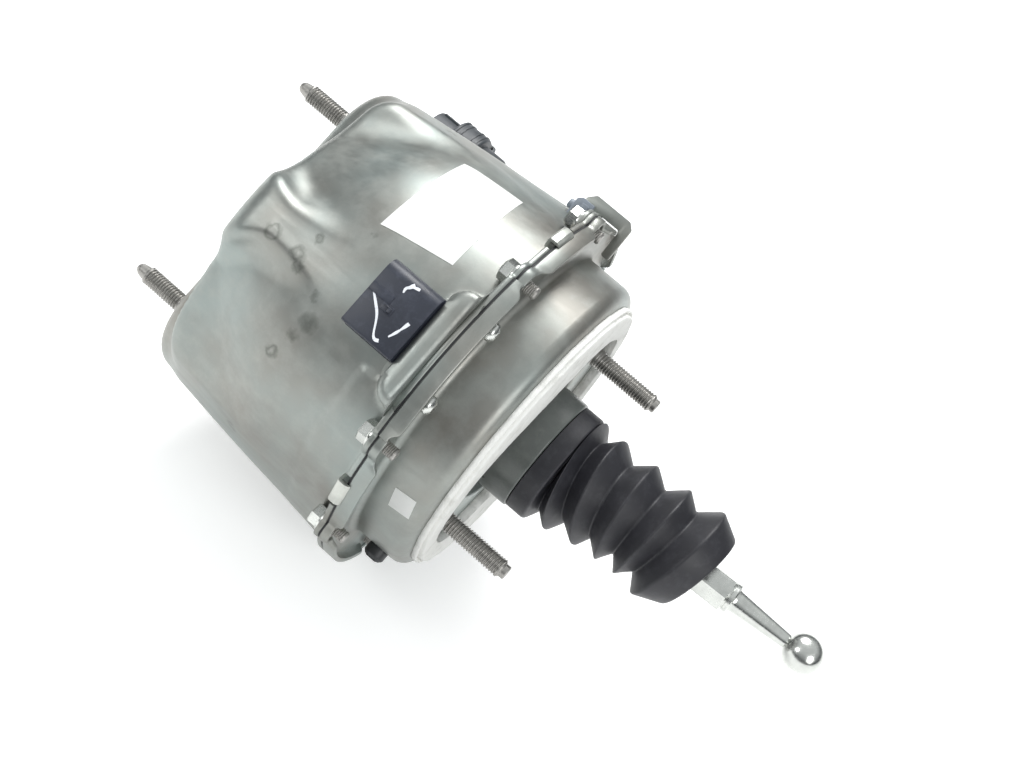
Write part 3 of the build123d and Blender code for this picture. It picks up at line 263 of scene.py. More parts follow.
def settle(field, grid, rounds):
    """Evens out a grid of points on the zero surface, with its first and last rows held."""
    for _ in range(rounds):
        mean = np.zeros_like(grid)
        mean[1:-1] = (grid[:-2] + grid[2:]) / 4 + (np.roll(grid, 1, 1) + np.roll(grid, -1, 1))[1:-1] / 4
        grid[1:-1] += 0.5 * (mean[1:-1] - grid[1:-1])
        for _ in range(2):
            inner = grid[1:-1]
            grid[1:-1] = inner - slope_of(field, inner) * field(inner)[..., None]
    return grid


# Outlines, surfaces and solids, as (points, faces) in millimetres


def soft_outline(points, radii, closed=True, steps=5):
    """Outline with an arc at each corner; radii is one radius or one for each point."""
    points = [np.array(p, float) for p in points]
    count = len(points)
    radii = [radii] * count if np.isscalar(radii) else list(radii)
    out = []
    for i, p in enumerate(points):
        radius = radii[i]
        if radius <= 0 or (not closed and i in (0, count - 1)):
            out.append(p)
            continue
        a, b = points[i - 1] - p, points[(i + 1) % count] - p
        la, lb = np.linalg.norm(a), np.linalg.norm(b)
        a, b = a / la, b / lb
        half = math.acos(max(-1, min(1, float(a @ b)))) / 2
        if half > math.pi / 2 - 0.01:
            out.append(p)
            continue
        reach = min(radius / math.tan(half), la * 0.49, lb * 0.49)
        radius = reach * math.tan(half)
        middle = p + (a + b) / np.linalg.norm(a + b) * radius / math.sin(half)
        first, last = p + a * reach - middle, p + b * reach - middle
        turn = math.atan2(first[0] * last[1] - first[1] * last[0], float(first @ last))
        for k in range(steps + 1):
            t = turn * k / steps
            out.append(middle + [first[0] * math.cos(t) - first[1] * math.sin(t),
                                 first[0] * math.sin(t) + first[1] * math.cos(t)])
    return np.array(out)


def grid_faces(rows, columns, wrap=True, loop=False):
    """Quads between rows of points; wrap closes each row, loop joins the last row to the first."""
    faces = []
    for i in range(rows if loop else rows - 1):
        low, high = i * columns, ((i + 1) % rows) * columns
        for j in range(columns if wrap else columns - 1):
            k = (j + 1) % columns
            faces.append((low + j, low + k, high + k, high + j))
    return faces


def box_outline(low, high, near, far, corner, steps=5):
    """Rectangle of (u, v) between two values of each, with rounded corners."""
    return soft_outline([(low, near), (high, near), (high, far), (low, far)], corner, steps=steps)


def lofted(rows, loop=True, wrap=True):
    """Part through rows of points; loop joins the last row to the first."""
    grid = np.asarray(rows)
    return grid.reshape(-1, 3), grid_faces(len(grid), grid.shape[1], wrap, loop)


def spread(columns):
    """Evenly spread angles in radians."""
    return np.arange(columns) * TAU / columns


def apart(angles, degrees):
    """Angle in radians from a direction in degrees to each angle, the short way round."""
    return np.angle(np.exp(1j * (angles - math.radians(degrees))))


def tube(outline, columns, u=0.0, v=0.0, upright=True, loop=False):
    """Circles of (height, radius) round a line at (u, v); height comes last, or first when not upright."""
    angles = spread(columns)
    rows = []
    for height, radius in outline:
        circle = [u + radius * np.cos(angles), v + radius * np.sin(angles)]
        level = np.full(columns, float(height))
        rows.append(np.stack([*circle, level] if upright else [level, *circle], -1))
    return lofted(rows, loop)


def between(corners, u, v):
    """Point between four corners: v runs from the first to the second, u from the first to the fourth."""
    a, b, c, d = (np.array(corner) for corner in corners)
    return (a * (1 - u) + d * u) * (1 - v) + (b * (1 - u) + c * u) * v


def film_between(sheets):
    """Thin film between two grids of points, joined round their border."""
    rows, columns = sheets[0].shape[:2]
    count = rows * columns
    faces = grid_faces(rows, columns, wrap=False)
    faces += [tuple(k + count for k in face) for face in faces]
    border = (list(range(columns)) + [i * columns + columns - 1 for i in range(1, rows)]
              + [(rows - 1) * columns + j for j in range(columns - 2, -1, -1)]
              + [i * columns for i in range(rows - 2, 0, -1)])
    faces += [(a, b, b + count, a + count) for a, b in zip(border, border[1:] + border[:1])]
    return np.concatenate([sheet.reshape(-1, 3) for sheet in sheets]), faces


def on_axis(y, r, angle):
    """Point at a place along the booster axis, a radius and an angle in radians."""
    return np.stack([r * np.cos(angle), y + 0 * r * angle, r * np.sin(angle)], -1)


def turned(outline, columns=96, closed=True):
    """Surface of an outline of (y, radius) turned about the booster axis; radius 0 makes a pole."""
    return lofted([on_axis(np.full(columns, y), np.full(columns, max(r, 0.0)), spread(columns))
                   for y, r in outline], closed)


def prism(outline, low, high):
    """Solid of an outline of (u, v) between two heights w; points come as (u, v, w)."""
    outline = np.asarray(outline, float)
    count = len(outline)
    base = np.column_stack([outline, np.full(count, low)])
    lid = np.column_stack([outline, np.full(count, high)])
    faces = [(i, (i + 1) % count, count + (i + 1) % count, count + i) for i in range(count)]
    return np.concatenate([base, lid]), faces + [tuple(range(count))[::-1], tuple(range(count, 2 * count))]


def wall_prism(outer, inner, low, high, floor=None):
    """Wall between two outlines with equal numbers of points; a floor closes the inside at a height."""
    outer, inner = np.asarray(outer, float), np.asarray(inner, float)
    count = len(outer)
    bottom = low if floor is None else floor
    rings = [np.column_stack([outer, np.full(count, low)]), np.column_stack([outer, np.full(count, high)]),
             np.column_stack([inner, np.full(count, high)]), np.column_stack([inner, np.full(count, bottom)])]
    faces = grid_faces(4, count, loop=floor is None)
    if floor is not None:
        faces += [tuple(range(3 * count, 4 * count)), tuple(range(count))[::-1]]
    return np.concatenate(rings), faces


def placed(part, matrix):
    """Part with its points moved by a 3 by 4 array of axes and origin."""
    points, faces = part
    return points @ matrix[:, :3].T + matrix[:, 3], faces


def round_place(angle, order="rty"):
    """Axes at an angle round the booster: r outwards, t along the growing angle, y along the axis."""
    a = math.radians(angle)
    axes = {"r": (math.cos(a), 0, math.sin(a)), "t": (-math.sin(a), 0, math.cos(a)), "y": (0, 1, 0)}
    return np.column_stack([axes[k] for k in order] + [(0, 0, 0)]).astype(float)


def joined(*parts):
    """Parts as one list of points and faces."""
    points, faces, shift = [], [], 0
    for part_points, part_faces in parts:
        points.append(part_points)
        faces += [tuple(i + shift for i in face) for face in part_faces]
        shift += len(part_points)
    return np.concatenate(points), faces


def plain_object(name, part, material):
    """Object of a part, in metres, with its doubles merged and its faces turned outwards."""
    mesh = bpy.data.meshes.new(name)
    mesh.from_pydata((part[0] * MM).tolist(), [], part[1])
    tidy = bmesh.new()
    tidy.from_mesh(mesh)
    bmesh.ops.remove_doubles(tidy, verts=tidy.verts, dist=2e-6)
    bmesh.ops.dissolve_degenerate(tidy, edges=tidy.edges, dist=1e-7)
    bmesh.ops.recalc_face_normals(tidy, faces=tidy.faces)
    tidy.to_mesh(mesh)
    tidy.free()
    mesh.materials.append(material)
    obj = bpy.data.objects.new(name, mesh)
    bpy.context.scene.collection.objects.link(obj)
    return obj


def made_plain(obj):
    """Turns an object's evaluated mesh into its own and removes its modifiers."""
    result = bpy.data.meshes.new_from_object(obj.evaluated_get(bpy.context.evaluated_depsgraph_get()))
    obj.modifiers.clear()
    result.name = obj.name
    obj.data = result
    return obj


def eased(obj, width, steps=2, limit=35.0):
    """Breaks the sharp edges of an object by a width in millimetres."""
    bevel = obj.modifiers.new("edges", "BEVEL")
    bevel.width = width * MM
    bevel.segments = steps
    bevel.limit_method = "ANGLE"
    bevel.angle_limit = math.radians(limit)
    return made_plain(obj)


def shaded(obj, limit=35.0):
    """Smooth shading with sharp edges where faces meet at more than the limit."""
    obj.data.shade_smooth()
    obj.data.set_sharp_from_angle(angle=math.radians(limit))
    return obj


def fitted(obj, body, slot, *nodes):
    """Lets a piece ride on its body and stand for its CAD nodes, which it hides; the slot is not used."""
    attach(obj, body)
    if nodes:
        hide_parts(*nodes)
    return obj


def piece(name, part, slot, *nodes, limit=40, body="housing", material=None, bevel=None):
    """Finished piece of a part: material (by its slot unless one is given), broken edges (width, steps, angle),
    shading, body and CAD nodes.
    """
    obj = plain_object(name, part, material_of(material or slot))
    if bevel:
        eased(obj, *bevel)
    return fitted(shaded(obj, limit), body, slot, *nodes)


# Materials


def add(tree, kind, settings=None, links=None):
    """Adds a node of a kind. Settings go to its attributes or inputs, and links join inputs to sockets."""
    made = tree.nodes.new(kind)
    for key, value in (settings or {}).items():
        if isinstance(key, str) and key not in made.inputs:
            setattr(made, key, value)
        else:
            made.inputs[key].default_value = value
    for key, socket in (links or {}).items():
        tree.links.new(socket, made.inputs[key])
    return made


def new_material(name, settings):
    """Material with one Principled shader, its tree, its shader and the object's coordinates."""
    material = bpy.data.materials.new(name)
    material.use_nodes = True
    tree = material.node_tree
    tree.nodes.clear()
    shader = add(tree, "ShaderNodeBsdfPrincipled", settings)
    add(tree, "ShaderNodeOutputMaterial", links={"Surface": shader.outputs[0]})
    place = add(tree, "ShaderNodeTexCoord").outputs["Object"]
    return material, tree, shader, place


def cloud(tree, place, spacing, detail=3.0, rough=0.5, stretch=(1, 1, 1)):
    """Noise whose patches are about that many millimetres apart."""
    moved = add(tree, "ShaderNodeMapping", {"Scale": stretch}, {"Vector": place}).outputs[0]
    return add(tree, "ShaderNodeTexNoise", {"Scale": 1000 / spacing, "Detail": detail, "Roughness": rough},
               {"Vector": moved}).outputs["Fac"]


def ranged(tree, value, low, high, new_low, new_high):
    """A value taken from one range to another, held at its ends."""
    return add(tree, "ShaderNodeMapRange",
               {"From Min": low, "From Max": high, "To Min": new_low, "To Max": new_high}, {"Value": value}).outputs[0]


def mixed(tree, share, first, second):
    """Colour between two others, each a socket or four numbers."""
    made = add(tree, "ShaderNodeMix", {"data_type": "RGBA"})
    tree.links.new(share, made.inputs[0])
    for index, value in ((6, first), (7, second)):
        if isinstance(value, bpy.types.NodeSocket):
            tree.links.new(value, made.inputs[index])
        else:
            made.inputs[index].default_value = value
    return made.outputs[2]


def bumped(tree, shader, height, depth, strength=1.0):
    """Bump of a height field whose full depth is given in millimetres."""
    bump = add(tree, "ShaderNodeBump", {"Strength": strength, "Distance": depth * MM}, {"Height": height})
    tree.links.new(bump.outputs[0], shader.inputs["Normal"])


def shade(base, factor):
    """Colour made lighter or darker by a factor."""
    return tuple(min(1.0, c * factor) for c in base[:3]) + (1.0,)


def spots_mask(tree, place, spots):
    """Mask of small marks: each spot is a point, its radius and the width of its ring, in millimetres."""
    total = None
    for point, radius, width in spots:
        gap = add(tree, "ShaderNodeVectorMath", {"operation": "DISTANCE", 1: [c * MM for c in point]}, {0: place})
        away = add(tree, "ShaderNodeMath", {"operation": "SUBTRACT", 1: radius * MM}, {0: gap.outputs["Value"]})
        from_ring = add(tree, "ShaderNodeMath", {"operation": "ABSOLUTE"}, {0: away.outputs[0]})
        near = ranged(tree, from_ring.outputs[0], 0.0, width * MM, 1.0, 0.0)
        if total is None:
            total = near
        else:
            total = add(tree, "ShaderNodeMath", {"operation": "MAXIMUM"}, {0: total, 1: near}).outputs[0]
    return total


def metal(name, base, roughness, metallic=1.0, patch=18.0, grain=0.9, spread=0.12, depth=0.02, stretch=(1, 1, 1)):
    """Metal with cloudy patches, a fine grain and uneven gloss."""
    material, tree, shader, place = new_material(name, {"Metallic": metallic})
    patches = cloud(tree, place, patch, 4.0, 0.6)
    fine = cloud(tree, place, grain, 2.0, 0.5, stretch)
    tone = mixed(tree, ranged(tree, patches, 0.3, 0.7, 0.0, 1.0), shade(base, 1 - spread), shade(base, 1 + spread))
    tree.links.new(tone, shader.inputs["Base Color"])
    rough = add(tree, "ShaderNodeMath", {"operation": "ADD"},
                {0: ranged(tree, patches, 0.3, 0.7, roughness - 0.06, roughness + 0.06),
                 1: ranged(tree, fine, 0.3, 0.7, -0.04, 0.04)})
    tree.links.new(rough.outputs[0], shader.inputs["Roughness"])
    bumped(tree, shader, fine, depth)
    return material


def moulded(name, base, roughness, grain=0.35, depth=0.01, dust=None, coat=0.0):
    """Moulded plastic or rubber with an eroded mould surface, and dust where it is given."""
    material, tree, shader, place = new_material(name, {"Metallic": 0.0, "Coat Weight": coat})
    patches = cloud(tree, place, 12.0, 3.0, 0.6)
    fine = cloud(tree, place, grain, 2.0)
    tone = mixed(tree, ranged(tree, patches, 0.35, 0.65, 0.0, 1.0), shade(base, 0.88), shade(base, 1.12))
    if dust:
        film = cloud(tree, place, 5.0, 6.0, 0.7)
        tone = mixed(tree, ranged(tree, film, 0.5, 0.8, 0.0, 0.22), tone, dust)
    tree.links.new(tone, shader.inputs["Base Color"])
    tree.links.new(ranged(tree, patches, 0.3, 0.7, roughness - 0.05, roughness + 0.06), shader.inputs["Roughness"])
    bumped(tree, shader, fine, depth)
    return material


def zinc_sheet(base):
    """Dull zinc-plated deep-drawing steel: soft broad reflections, drying marks and handling scratches."""
    material, tree, shader, place = new_material("Zinc-plated drawn steel", {"Metallic": 0.82})
    broad = cloud(tree, place, 46.0, 3.0, 0.5)
    patches = cloud(tree, place, 11.0, 5.0, 0.65)
    fine = cloud(tree, place, 0.8, 2.0)
    drawn = cloud(tree, place, 2.2, 3.0, 0.5, (1, 0.12, 1))
    tone = mixed(tree, ranged(tree, broad, 0.35, 0.65, 0.0, 1.0), linear("#8B8983"), base)
    tone = mixed(tree, ranged(tree, patches, 0.45, 0.75, 0.0, 0.5), tone, linear("#A9ABA6"))
    ragged = add(tree, "ShaderNodeTexNoise", {"Scale": 300.0, "Detail": 3.0}, {"Vector": place}).outputs["Color"]
    pushed = add(tree, "ShaderNodeVectorMath", {"operation": "MULTIPLY_ADD", 1: (0.004,) * 3, 2: (-0.002,) * 3},
                 {0: ragged})
    moved = add(tree, "ShaderNodeVectorMath", {"operation": "ADD"}, {0: place, 1: pushed.outputs[0]}).outputs[0]
    marks = spots_mask(tree, moved, STAINS)
    tone = mixed(tree, ranged(tree, marks, 0.0, 1.0, 0.0, 0.55), tone, linear("#4C504A"))
    tree.links.new(tone, shader.inputs["Base Color"])
    rough = add(tree, "ShaderNodeMath", {"operation": "ADD"},
                {0: ranged(tree, patches, 0.3, 0.7, 0.37, 0.47), 1: ranged(tree, drawn, 0.3, 0.7, -0.04, 0.04)})
    tree.links.new(rough.outputs[0], shader.inputs["Roughness"])
    height = add(tree, "ShaderNodeMath", {"operation": "MULTIPLY_ADD", 1: 0.5}, {0: fine, 2: patches})
    bumped(tree, shader, height.outputs[0], 0.03)
    return material


def foam(base):
    """Closed-cell foam: matt, with cells of about a millimetre that cast small shadows."""
    material, tree, shader, place = new_material("Closed-cell foam", {"Roughness": 0.9, "Specular IOR Level": 0.25})
    cells = add(tree, "ShaderNodeTexVoronoi", {"Scale": 1000 / 0.9}, {"Vector": place}).outputs["Distance"]
    grime = cloud(tree, place, 9.0, 5.0, 0.7)
    tone = mixed(tree, ranged(tree, grime, 0.5, 0.75, 0.0, 0.4), base, linear("#9C9A8E"))
    tree.links.new(tone, shader.inputs["Base Color"])
    bumped(tree, shader, cells, 0.15)
    return material


def film(base):
    """Printed-label film left blank: satin, a little grime and slight waves."""
    material, tree, shader, place = new_material("Label film", {"Roughness": 0.42, "Metallic": 0.0})
    grime = cloud(tree, place, 6.0, 6.0, 0.7)
    tone = mixed(tree, ranged(tree, grime, 0.52, 0.8, 0.0, 0.3), base, linear("#A9ABA5"))
    tree.links.new(tone, shader.inputs["Base Color"])
    bumped(tree, shader, cloud(tree, place, 4.0, 2.0), 0.04)
    return material


# Drying marks on the front shell: point, ring radius and ring width in millimetres
STAINS = [((73.0 * math.cos(math.radians(a)), y, 73.0 * math.sin(math.radians(a))), r, w) for a, y, r, w in (
    (139.7, 106.6, 2.6, 1.2), (139.9, 93.9, 2.4, 1.6), (142.3, 90.6, 2.0, 1.4), (133.0, 91.4, 1.8, 1.0),
    (145.5, 78.9, 2.2, 1.2), (152.3, 74.4, 3.0, 2.4), (157.9, 76.6, 2.2, 1.6), (165.8, 79.7, 2.6, 1.2),
    (158.4, 59.7, 1.8, 0.8), (122.6, 77.1, 1.6, 1.2), (183.7, 39.0, 1.4, 0.5), (160.0, 98.0, 1.6, 0.6),
    (172.0, 62.0, 1.3, 0.6), (101.0, 40.0, 1.5, 0.6), (206.0, 84.0, 2.4, 1.2), (262.0, 58.0, 2.2, 0.8),
    (300.0, 92.0, 2.6, 1.0), (340.0, 70.0, 2.0, 0.8), (20.0, 46.0, 1.8, 0.7), (62.0, 96.0, 2.2, 0.9))]


def all_materials(finish):
    """Every material, by the record's slot name or by its own name."""
    return {
        "shell_steel": zinc_sheet(finish.shell),
        "plated_steel": metal("Bright zinc-plated steel", finish.plated, 0.24, patch=7.0, grain=0.5),
        "stud_steel": metal("Dark zinc-plated studs", finish.stud, 0.4, metallic=0.85, patch=5.0, grain=0.6),
        "ground_steel": metal("Hardened ground steel", linear("#A3A5A8"), 0.2, patch=9.0, grain=0.25),
        "spring_steel": metal("Oiled spring steel", linear("#8F9193"), 0.3, patch=6.0, grain=0.4),
        "laminations": metal("Stacked electrical sheet", linear("#6F7073"), 0.5, grain=0.5, depth=0.05,
                             stretch=(0.05, 1, 0.05)),
        "cast_aluminium": metal("Die-cast aluminium", linear("#A9ABAB"), 0.48, grain=1.2, depth=0.05),
        "capacitor_can": metal("Drawn aluminium can", linear("#B4B6B8"), 0.28, grain=0.4),
        "copper": metal("Enamelled copper", linear("#B87443"), 0.3, grain=0.7, depth=0.05),
        "tinned_contact": metal("Tin-plated contact", linear("#C9C7BD"), 0.25, grain=0.3),
        "magnet": metal("Coated sintered magnet", linear("#4A4B4E"), 0.5, metallic=0.6, grain=0.6),
        "boot_rubber": moulded("Moulded boot rubber", finish.rubber, 0.5, 0.5, 0.02, linear("#5A5B60")),
        "seal_rubber": moulded("Seal rubber", linear("#232426"), 0.6),
        "gasket_foam": foam(finish.foam),
        "sleeve_plastic": moulded("Glass-filled nylon", finish.sleeve, 0.3, 0.6, 0.02, linear("#8A8C86")),
        "black_plastic": moulded("Blue-black PBT", finish.header, 0.4, 0.3, 0.01, linear("#6B7080")),
        "grey_plastic": moulded("Dark grey PBT", finish.socket, 0.45, 0.4, 0.015, linear("#777B7E")),
        "clip_plastic": moulded("Blue-grey acetal", finish.clip, 0.4),
        "board": moulded("Green solder mask", linear("#1F5A3A"), 0.3, 1.5, 0.02, coat=0.3),
        "package": moulded("Black epoxy package", linear("#26272A"), 0.5),
        "choke_core": moulded("Painted powder core", linear("#3D6B57"), 0.4, 0.8, 0.03),
        "lead_cover": moulded("Silicone lead cover", linear("#A8342C"), 0.45),
        "label_film": film(finish.label),
        "marker_paint": film(linear("#E9ECF2")),
        # the rear shell's bent tabs get a lighter copy of the zinc than the shell they belong to
        "tab_steel": metal("Bare-edged tab steel", linear("#BFC1BB"), 0.42, patch=4.0),
        "vent_plastic": moulded("Black vent plastic", linear("#222426"), 0.45),
    }


MATERIALS = {}


def material_of(slot):
    """The material of a slot, made once from the finishes."""
    if not MATERIALS:
        MATERIALS.update(all_materials(bpy.context.scene.booster_finishes))
    return MATERIALS[slot]


# Geometry Nodes trees


def group(name, inputs):
    """Geometry node tree with named inputs, its input node and the identifiers of its sockets."""
    tree = bpy.data.node_groups.new(name, "GeometryNodeTree")
    tree.interface.new_socket("Geometry", in_out="OUTPUT", socket_type="NodeSocketGeometry")
    names = {}
    for label, kind in inputs:
        names[label] = tree.interface.new_socket(label, in_out="INPUT", socket_type="NodeSocket" + kind).identifier
    return tree, add(tree, "NodeGroupInput").outputs, names


def maths(tree, operation, *values):
    """Result of a math node on sockets and numbers."""
    settings, links = {"operation": operation}, {}
    for index, value in enumerate(values):
        (links if isinstance(value, bpy.types.NodeSocket) else settings)[index] = value
    return add(tree, "ShaderNodeMath", settings, links).outputs[0]


def ending(tree, geometry, material):
    """Realize Instances and Set Material at the end of a tree."""
    real = add(tree, "GeometryNodeRealizeInstances", links={0: geometry})
    painted = add(tree, "GeometryNodeSetMaterial", links={"Geometry": real.outputs[0], "Material": material})
    add(tree, "NodeGroupOutput", links={0: painted.outputs[0]})


def repeat_tree():
    """Copies of one object in pairs round the booster axis, with one place raised if wanted."""
    inputs = [("Piece", "Object"), ("Count", "Int"), ("Circle", "Float"), ("Height", "Float"), ("Start", "Float"),
              ("Step", "Float"), ("Side", "Float"), ("Raised place", "Int"), ("Raise", "Float"), ("Finish", "Material")]
    tree, given, names = group("Pairs round the axis", inputs)
    points = add(tree, "GeometryNodePoints", links={"Count": given["Count"]})
    index = add(tree, "GeometryNodeInputIndex").outputs[0]
    pair = maths(tree, "FLOOR", maths(tree, "DIVIDE", index, 2.0))
    odd = maths(tree, "MODULO", index, 2.0)
    side = maths(tree, "MULTIPLY", maths(tree, "MULTIPLY_ADD", odd, 2.0, -1.0), given["Side"])
    angle = maths(tree, "ADD", maths(tree, "MULTIPLY_ADD", pair, given["Step"], given["Start"]), side)
    lifted = maths(tree, "COMPARE", index, given["Raised place"], 0.1)
    height = maths(tree, "MULTIPLY_ADD", lifted, given["Raise"], given["Height"])
    spot = add(tree, "ShaderNodeCombineXYZ", links={
        0: maths(tree, "MULTIPLY", maths(tree, "COSINE", angle), given["Circle"]), 1: height,
        2: maths(tree, "MULTIPLY", maths(tree, "SINE", angle), given["Circle"])})
    moved = add(tree, "GeometryNodeSetPosition", links={0: points.outputs[0], "Position": spot.outputs[0]})
    turn = add(tree, "ShaderNodeCombineXYZ", links={1: maths(tree, "MULTIPLY", angle, -1.0)})
    piece = add(tree, "GeometryNodeObjectInfo", links={0: given["Piece"]})
    copies = add(tree, "GeometryNodeInstanceOnPoints",
                 links={"Points": moved.outputs[0], "Instance": piece.outputs["Geometry"], "Rotation": turn.outputs[0]})
    ending(tree, copies.outputs[0], given["Finish"])
    return tree, names


def thread_tree():
    """Rolled thread along Y: a grid bent round, with its radius following the helix."""
    inputs = [("Length", "Float"), ("Radius", "Float"), ("Pitch", "Float"), ("Depth", "Float"),
              ("Rows", "Int"), ("Columns", "Int"), ("Finish", "Material")]
    tree, given, names = group("Rolled thread", inputs)
    grid = add(tree, "GeometryNodeMeshGrid", {"Size X": 1.0, "Size Y": 1.0},
               {"Vertices X": given["Rows"], "Vertices Y": given["Columns"]})
    place = add(tree, "ShaderNodeSeparateXYZ", links={0: add(tree, "GeometryNodeInputPosition").outputs[0]})
    run = maths(tree, "ADD", place.outputs[0], 0.5)
    turn = maths(tree, "ADD", place.outputs[1], 0.5)
    along = maths(tree, "MULTIPLY", run, given["Length"])
    phase = maths(tree, "FRACT", maths(tree, "SUBTRACT", maths(tree, "DIVIDE", along, given["Pitch"]), turn))
    wave = maths(tree, "ABSOLUTE", maths(tree, "MULTIPLY_ADD", phase, 2.0, -1.0))
    wave = maths(tree, "MINIMUM", maths(tree, "MAXIMUM", maths(tree, "MULTIPLY_ADD", wave, 1.35, -0.15), 0.0), 1.0)
    ends = maths(tree, "MINIMUM", along, maths(tree, "SUBTRACT", given["Length"], along))
    fade = maths(tree, "MINIMUM", maths(tree, "DIVIDE", ends, given["Pitch"]), 1.0)
    radius = maths(tree, "SUBTRACT", given["Radius"],
                   maths(tree, "MULTIPLY", maths(tree, "MULTIPLY", wave, given["Depth"]), fade))
    angle = maths(tree, "MULTIPLY", turn, TAU)
    spot = add(tree, "ShaderNodeCombineXYZ", links={
        0: maths(tree, "MULTIPLY", maths(tree, "COSINE", angle), radius), 1: along,
        2: maths(tree, "MULTIPLY", maths(tree, "SINE", angle), radius)})
    bent = add(tree, "GeometryNodeSetPosition", links={0: grid.outputs[0], "Position": spot.outputs[0]})
    closed = add(tree, "GeometryNodeMergeByDistance", {"Distance": 2e-6}, {0: bent.outputs[0]})
    ending(tree, closed.outputs[0], given["Finish"])
    return tree, names


TREES = {}


def from_tree(name, maker, **values):
    """Plain object made by a Geometry Nodes tree with the given inputs."""
    if maker.__name__ not in TREES:
        TREES[maker.__name__] = maker()
    tree, names = TREES[maker.__name__]
    obj = bpy.data.objects.new(name, bpy.data.meshes.new(name))
    bpy.context.scene.collection.objects.link(obj)
    modifier = obj.modifiers.new("shape", "NODES")
    modifier.node_group = tree
    for label, value in values.items():
        modifier[names[label.replace("_", " ")]] = value
    bpy.context.view_layer.update()
    return made_plain(obj)


def threaded_rod(name, smooth, start, length, radius, pitch, slot, columns=28):
    """Rod along Y: a turned outline closes both ends of a rolled thread of a length in millimetres."""
    thread = from_tree(name + "_thread", thread_tree, Length=length * MM, Radius=radius * MM, Pitch=pitch * MM,
                       Depth=pitch * 0.46 * MM, Rows=int(length / pitch * 10) + 1, Columns=columns + 1,
                       Finish=material_of(slot))
    points = np.array([v.co for v in thread.data.vertices]) / MM + [0, start, 0]
    part = points, [tuple(p.vertices) for p in thread.data.polygons]
    bpy.data.objects.remove(thread)
    return plain_object(name, joined(part, *[turned(s, columns, closed=False) for s in smooth]), material_of(slot))


def pairs(name, source, circle, height, start, side, slot, count=2, step=0.0, raised=-1, lift=0.0):
    """Copies of a source round the axis, given in millimetres and degrees; the source is removed."""
    obj = from_tree(name, repeat_tree, Piece=source, Count=count, Circle=circle * MM, Height=height * MM,
                    Start=math.radians(start), Step=math.radians(step), Side=math.radians(side),
                    Raised_place=raised, Raise=lift * MM, Finish=material_of(slot))
    bpy.data.objects.remove(source)
    return obj


def flange_reach(angles, h, notched=False, inset=0.0):
    """Radius of the flange outline at each angle in radians, with the ears, the pad and the notches."""
    reach = np.full(len(angles), mm(h.flange_radius) - inset)
    circle, ear = mm(h.screw_circle), mm(h.ear_radius) - inset
    for screw in SCREW_ANGLES:
        off = apart(angles, screw)
        room = ear**2 - (circle * np.sin(off)) ** 2
        near = (room > 0) & (np.abs(off) < 1)
        reach = np.where(near, np.maximum(reach, circle * np.cos(off) + np.sqrt(np.maximum(room, 0))), reach)
    off = apart(angles, BULGE_ANGLE)
    pad = np.minimum(mm(h.pad_radius) - inset, (36.0 - inset) / np.maximum(np.abs(np.sin(off)), 1e-6))
    reach = np.where(np.abs(off) < 1.2, np.maximum(reach, pad), reach)
    if notched:
        for quarter in QUARTERS:
            off = np.abs(apart(angles, quarter)) * mm(h.flange_radius)
            reach = np.where((off > 6.0) & (off < 8.8), reach - 2.8, reach)
    return reach


def column_angles(count, extra=()):
    """Evenly spread angles with a few more where a shape needs them."""
    return np.unique(np.round(np.concatenate([spread(count), np.asarray(extra, float) % TAU]), 6))


class BOOSTER_OT_front_shell(bpy.types.Operator):
    """Drawn front shell: its pressed form with fillets, the flange with ears, and the bore's collar"""

    bl_idname = "booster.front_shell"
    bl_label = "Front Shell"

    def execute(self, context):
        h = context.scene.booster_housing
        flange = mm(h.flange_radius)
        notches = [math.radians(q) + side * off / flange
                   for q in QUARTERS for side in (-1, 1) for off in (5.9, 6.1, 7.4, 8.7, 8.9)]
        angles = column_angles(432, notches)
        columns = len(angles)

        def field(p):
            return front_field(p, h)

        # rays that meet the pressing from the side, round its shoulder and from the front
        rays = []
        for y in np.concatenate([[30.35, 31.0, 31.9, 33.0], np.linspace(34.4, 98, 46)]):
            rays.append(((130, y), (-1, 0)))
        for turn in np.radians(np.linspace(2.5, 90, 36)):
            out = np.array([math.cos(turn), math.sin(turn)])
            rays.append((np.array([50, 98]) + out * 90, -out))
        for r in np.linspace(48.8, 24.5, 20):
            rays.append(((r, 188), (0, -1)))
        start = np.stack([on_axis(np.full(columns, o[1]), np.full(columns, o[0]), angles) for o, _ in rays])
        heading = np.stack([on_axis(np.full(columns, d[1]), np.full(columns, d[0]), angles) for _, d in rays])
        skin = meet(lambda p: front_field(p, h, flanged=False), start, heading)
        # the first row is pushed out to where the fillet reaches the flange
        skin[0] += slope_of(field, skin[3]) * 2.6
        skin[0, :, 1] = FLANGE_FACE
        skin = settle(field, skin, 24)
        normals = slope_of(field, skin)
        inner = (skin - normals * mm(h.sheet))[::-4]
        reach = flange_reach(angles, h, notched=True)
        root = np.hypot(skin[0, :, 0], skin[0, :, 2])
        edge = [(28.0, reach - 0.25), (28.25, reach), (29.7, reach), (30.0, reach - 0.3)]
        edge += [(30.0, root + (reach - 0.3 - root) * share) for share in (0.6, 0.25)]
        rows = [on_axis(np.full(columns, y), r, angles) for y, r in edge]
        bore, top, sheet = mm(h.bore_radius), mm(h.bridge_face), mm(h.sheet)
        edge = soft_outline([(24.4, top), (bore, top), (bore, top - 8), (bore + sheet, top - 8),
                             (bore + sheet, top - sheet - 0.2)], [0, 1.2, 0.3, 0.3, 0], closed=False)
        collar = [on_axis(np.full(columns, y), np.full(columns, r), angles) for r, y in edge]
        under = [on_axis(np.full(columns, 28.0), root - sheet - 0.4, angles)]
        part = lofted(rows + list(skin) + collar + list(inner) + under)
        piece("front_shell_pressing", part, "shell_steel", "front_shell", limit=50)
        return {"FINISHED"}


